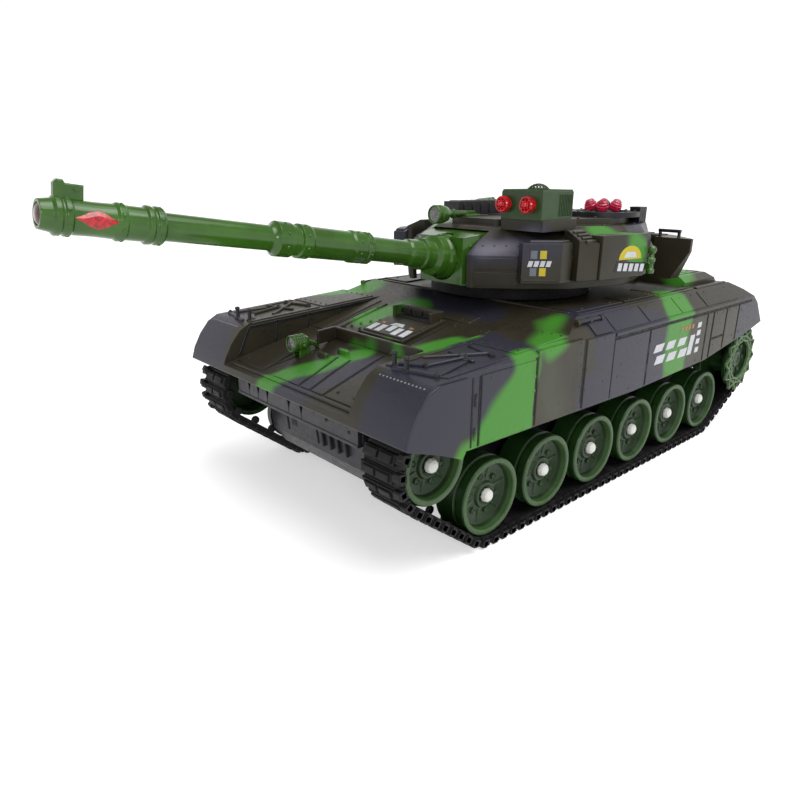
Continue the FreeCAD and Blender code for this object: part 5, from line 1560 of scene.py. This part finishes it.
make_turret_body()
for side_name, side_sign in SIDES.items():
    make_cheek(side_name, side_sign)
    make_louvres(side_name, side_sign)
    make_emblem(side_name, side_sign)
    make_lug(side_name, side_sign)
make_bin()
make_sight()
make_sight_lenses()
make_searchlight()
make_stowage()
make_flap()
make_hatch_ring()
make_beacon()
make_antenna()


# ---------------------------------------------------------------- gun

GUN_JOINT = JOINTS["gun_elevation"]["pos_m"]
PIVOT = Vector((0, GUN_JOINT[1] / MM - AXIS_Y, GUN_JOINT[2] / MM))
GUN_RISE = math.radians(8.2)
GUN_WAY = Vector((0, -math.cos(GUN_RISE), math.sin(GUN_RISE)))
GUN_UP = Vector((0, math.sin(GUN_RISE), math.cos(GUN_RISE)))
# (distance along the gun from its pivot, radius)
BARREL = [(6.0, 0), (6.0, 9.4), (9.6, 8.8), (10.4, 7.6), (11.0, 6.6), (14.5, 6.2), (15.0, 7.0), (17.0, 7.0),
          (17.5, 6.1), (24.4, 5.8), (25.0, 5.3), (26.0, 5.0), (46.4, 5.0), (46.8, 6.1), (47.4, 6.5),
          (49.4, 6.5), (49.8, 6.0), (50.6, 6.0), (51.0, 6.5), (56.4, 6.5), (57.0, 6.1), (58.0, 6.0),
          (76.0, 6.0), (77.0, 6.2), (77.4, 6.5), (81.6, 6.5), (82.0, 5.6), (85.0, 5.6), (85.4, 6.5),
          (91.6, 6.5), (92.2, 5.6), (93.4, 4.8), (94.4, 4.6), (133.4, 4.6), (134.0, 5.8), (134.6, 6.2),
          (136.4, 6.2), (136.8, 5.7), (137.6, 5.7), (138.0, 6.2), (139.4, 6.2), (140.0, 5.4), (146.0, 5.4),
          (146.4, 5.9), (148.4, 6.0), (149.4, 5.4), (155.0, 5.2), (161.6, 5.3), (162.2, 5.9), (163.6, 5.9),
          (164.0, 5.5), (164.6, 5.5), (165.0, 5.9), (166.4, 5.9), (167.2, 5.0), (169.8, 4.5), (170.6, 4.4),
          (170.6, 3.4), (168.8, 3.2), (168.8, 0)]


def on_gun(s, x=0.0, up=0.0):
    return PIVOT + GUN_WAY * s + GUN_UP * up + Vector((x, 0, 0))


def make_gun():
    bm = bmesh.new()
    lathe(bm, BARREL, PIVOT, GUN_WAY, 48)
    round_back = [math.radians(12 * i) for i in range(1, 15)]
    ball = [(-10.3, 0)] + [(-10.3 * math.cos(a), 10.3 * math.sin(a)) for a in round_back] + [(10.3, 0)]
    lathe(bm, ball, PIVOT, GUN_WAY, 48)
    rod(bm, 11.5, 2.5, PIVOT, (1, 0, 0), 20)
    sight = ((158.0, 4.8), (166.4, 4.8), (166.4, 9.4), (165.4, 10.5), (163.8, 10.5), (163.2, 9.6),
             (158.0, 9.6))
    prism(bm, [on_gun(s, -1.4, up) for s, up in sight], Vector((2.8, 0, 0)), 0.4)
    rod(bm, 1.9, 1.0, on_gun(160.2, 0.0, 8.6), (1, 0, 0), 12)
    piece("gun_tube", bm, gun_plastic, "gun", 0.12, ["gun_barrel"])
    bolts = bmesh.new()
    for s, radius, size in ((48.4, 6.4, 0.7), (54.0, 6.4, 0.7), (79.5, 6.4, 0.7), (88.4, 6.4, 0.7),
                            (135.5, 6.1, 0.65), (147.4, 5.9, 0.65), (163.0, 5.8, 0.6)):
        for i in range(8):
            angle = 2 * math.pi * (i + 0.5) / 8
            way = Vector((math.cos(angle), 0, 0)) + GUN_UP * math.sin(angle)
            stud(bolts, on_gun(s) + way * radius, way, size, 0.55)
    piece("gun_bolts", bolts, gun_plastic, "gun")
    lamps = bmesh.new()
    for sign in (1, -1):
        ring, crown = (
            [on_gun(a, sign * x, b) for a, b in ((back, 0), (155.0, half), (front, 0), (155.0, -half))]
            for x, back, front, half in ((4.9, 146.4, 163.6, 2.8), (5.88, 150.4, 159.6, 1.3)))
        skin(lamps, [[point - Vector((sign * 0.8, 0, 0)) for point in ring], ring, crown])
    piece("muzzle_windows", lamps, red_lens, "gun", 0.1, ["muzzle_side_lamps"])
    glass = bmesh.new()
    lathe(glass, [(168.9, 0), (168.9, 3.3), (170.2, 3.3), (170.9, 2.2), (171.1, 0)], PIVOT, GUN_WAY, 28)
    piece("muzzle_glass", glass, muzzle_red, "gun", 0.0, ["muzzle_lens"])
    shield = shape_of("mantlet_shield")
    for sign in (1, -1):
        for z in (95.0, 102.0, 109.0):
            stud(shield, (sign * 15.2, -47.2, z), (sign * 0.88, -0.47, 0), 0.9, 0.7)
    piece("mantlet_plate", shield, gun_plastic, "turret", 0.5, ["mantlet_shield"])


make_gun()


# ---------------------------------------------------------------- markings

def make_skirt_marking(side, sign):
    wall = raised(skirt(sign), 0.5)
    bars = [slanted(y, z, wide, tall, 2.0) for y, z, wide, tall in (
        (14.0, 61.4, 8.0, 3.6), (16.0, 55.4, 8.0, 4.0), (25.6, 61.0, 7.6, 3.8), (27.4, 55.0, 8.0, 4.0),
        (37.0, 60.8, 7.4, 3.8), (38.8, 54.8, 7.8, 4.0), (48.4, 54.6, 4.6, 9.8))]
    column = [slanted(56.6, z, 3.8, 2.6, 0.4) for z in (54.6, 59.0, 63.4, 67.4)]
    sticker(f"skirt_bars_{side}", decal_white, wall, bars + column)
    starts = [39.0 + 3.6 * i for i in range(4)]
    dashes = [[(y, 68.0), (y + 2.2, 68.0), (y + 2.8, 70.2), (y + 0.8, 70.2)] for y in starts]
    sticker(f"skirt_dashes_{side}", decal_orange, wall, dashes)


def make_hatch_marking():
    lid = raised(glacis, 2.1)
    places = ((-12.0, -85.0), (-6.6, -85.0), (-1.2, -83.0), (4.2, -85.0), (9.6, -85.0))
    bars = [slanted(x, y, 3.4, 6.4, -0.6) for x, y in places]
    bars.append([(-4.0, -77.6), (4.6, -77.6), (3.0, -74.8), (-2.4, -74.8)])
    sticker("hatch_bars", decal_white, lid, bars)
    sticker("hatch_dashes", decal_orange, lid, [slanted(x, -77.4, 2.4, 1.6, -0.4) for x in (-10.0, 8.2)])


for side_name, side_sign in SIDES.items():
    make_skirt_marking(side_name, side_sign)
make_hatch_marking()


# ---------------------------------------------------------------- inside pieces

INSIDE = {"battery_cover": black_plastic, "battery_pack": wrap_blue, "circuit_board": board_green,
          "speaker": black_plastic, "gearbox_left": gearbox_grey, "gearbox_right": gearbox_grey,
          "drive_motors": steel, "hull_screws": steel, "turret_motor": steel, "turret_pinion": white_plastic,
          "power_switch": black_plastic, }
for node_name, finish in INSIDE.items():
    slots = NODES[node_name].material_slots
    for entry in slots:
        entry.material = finish
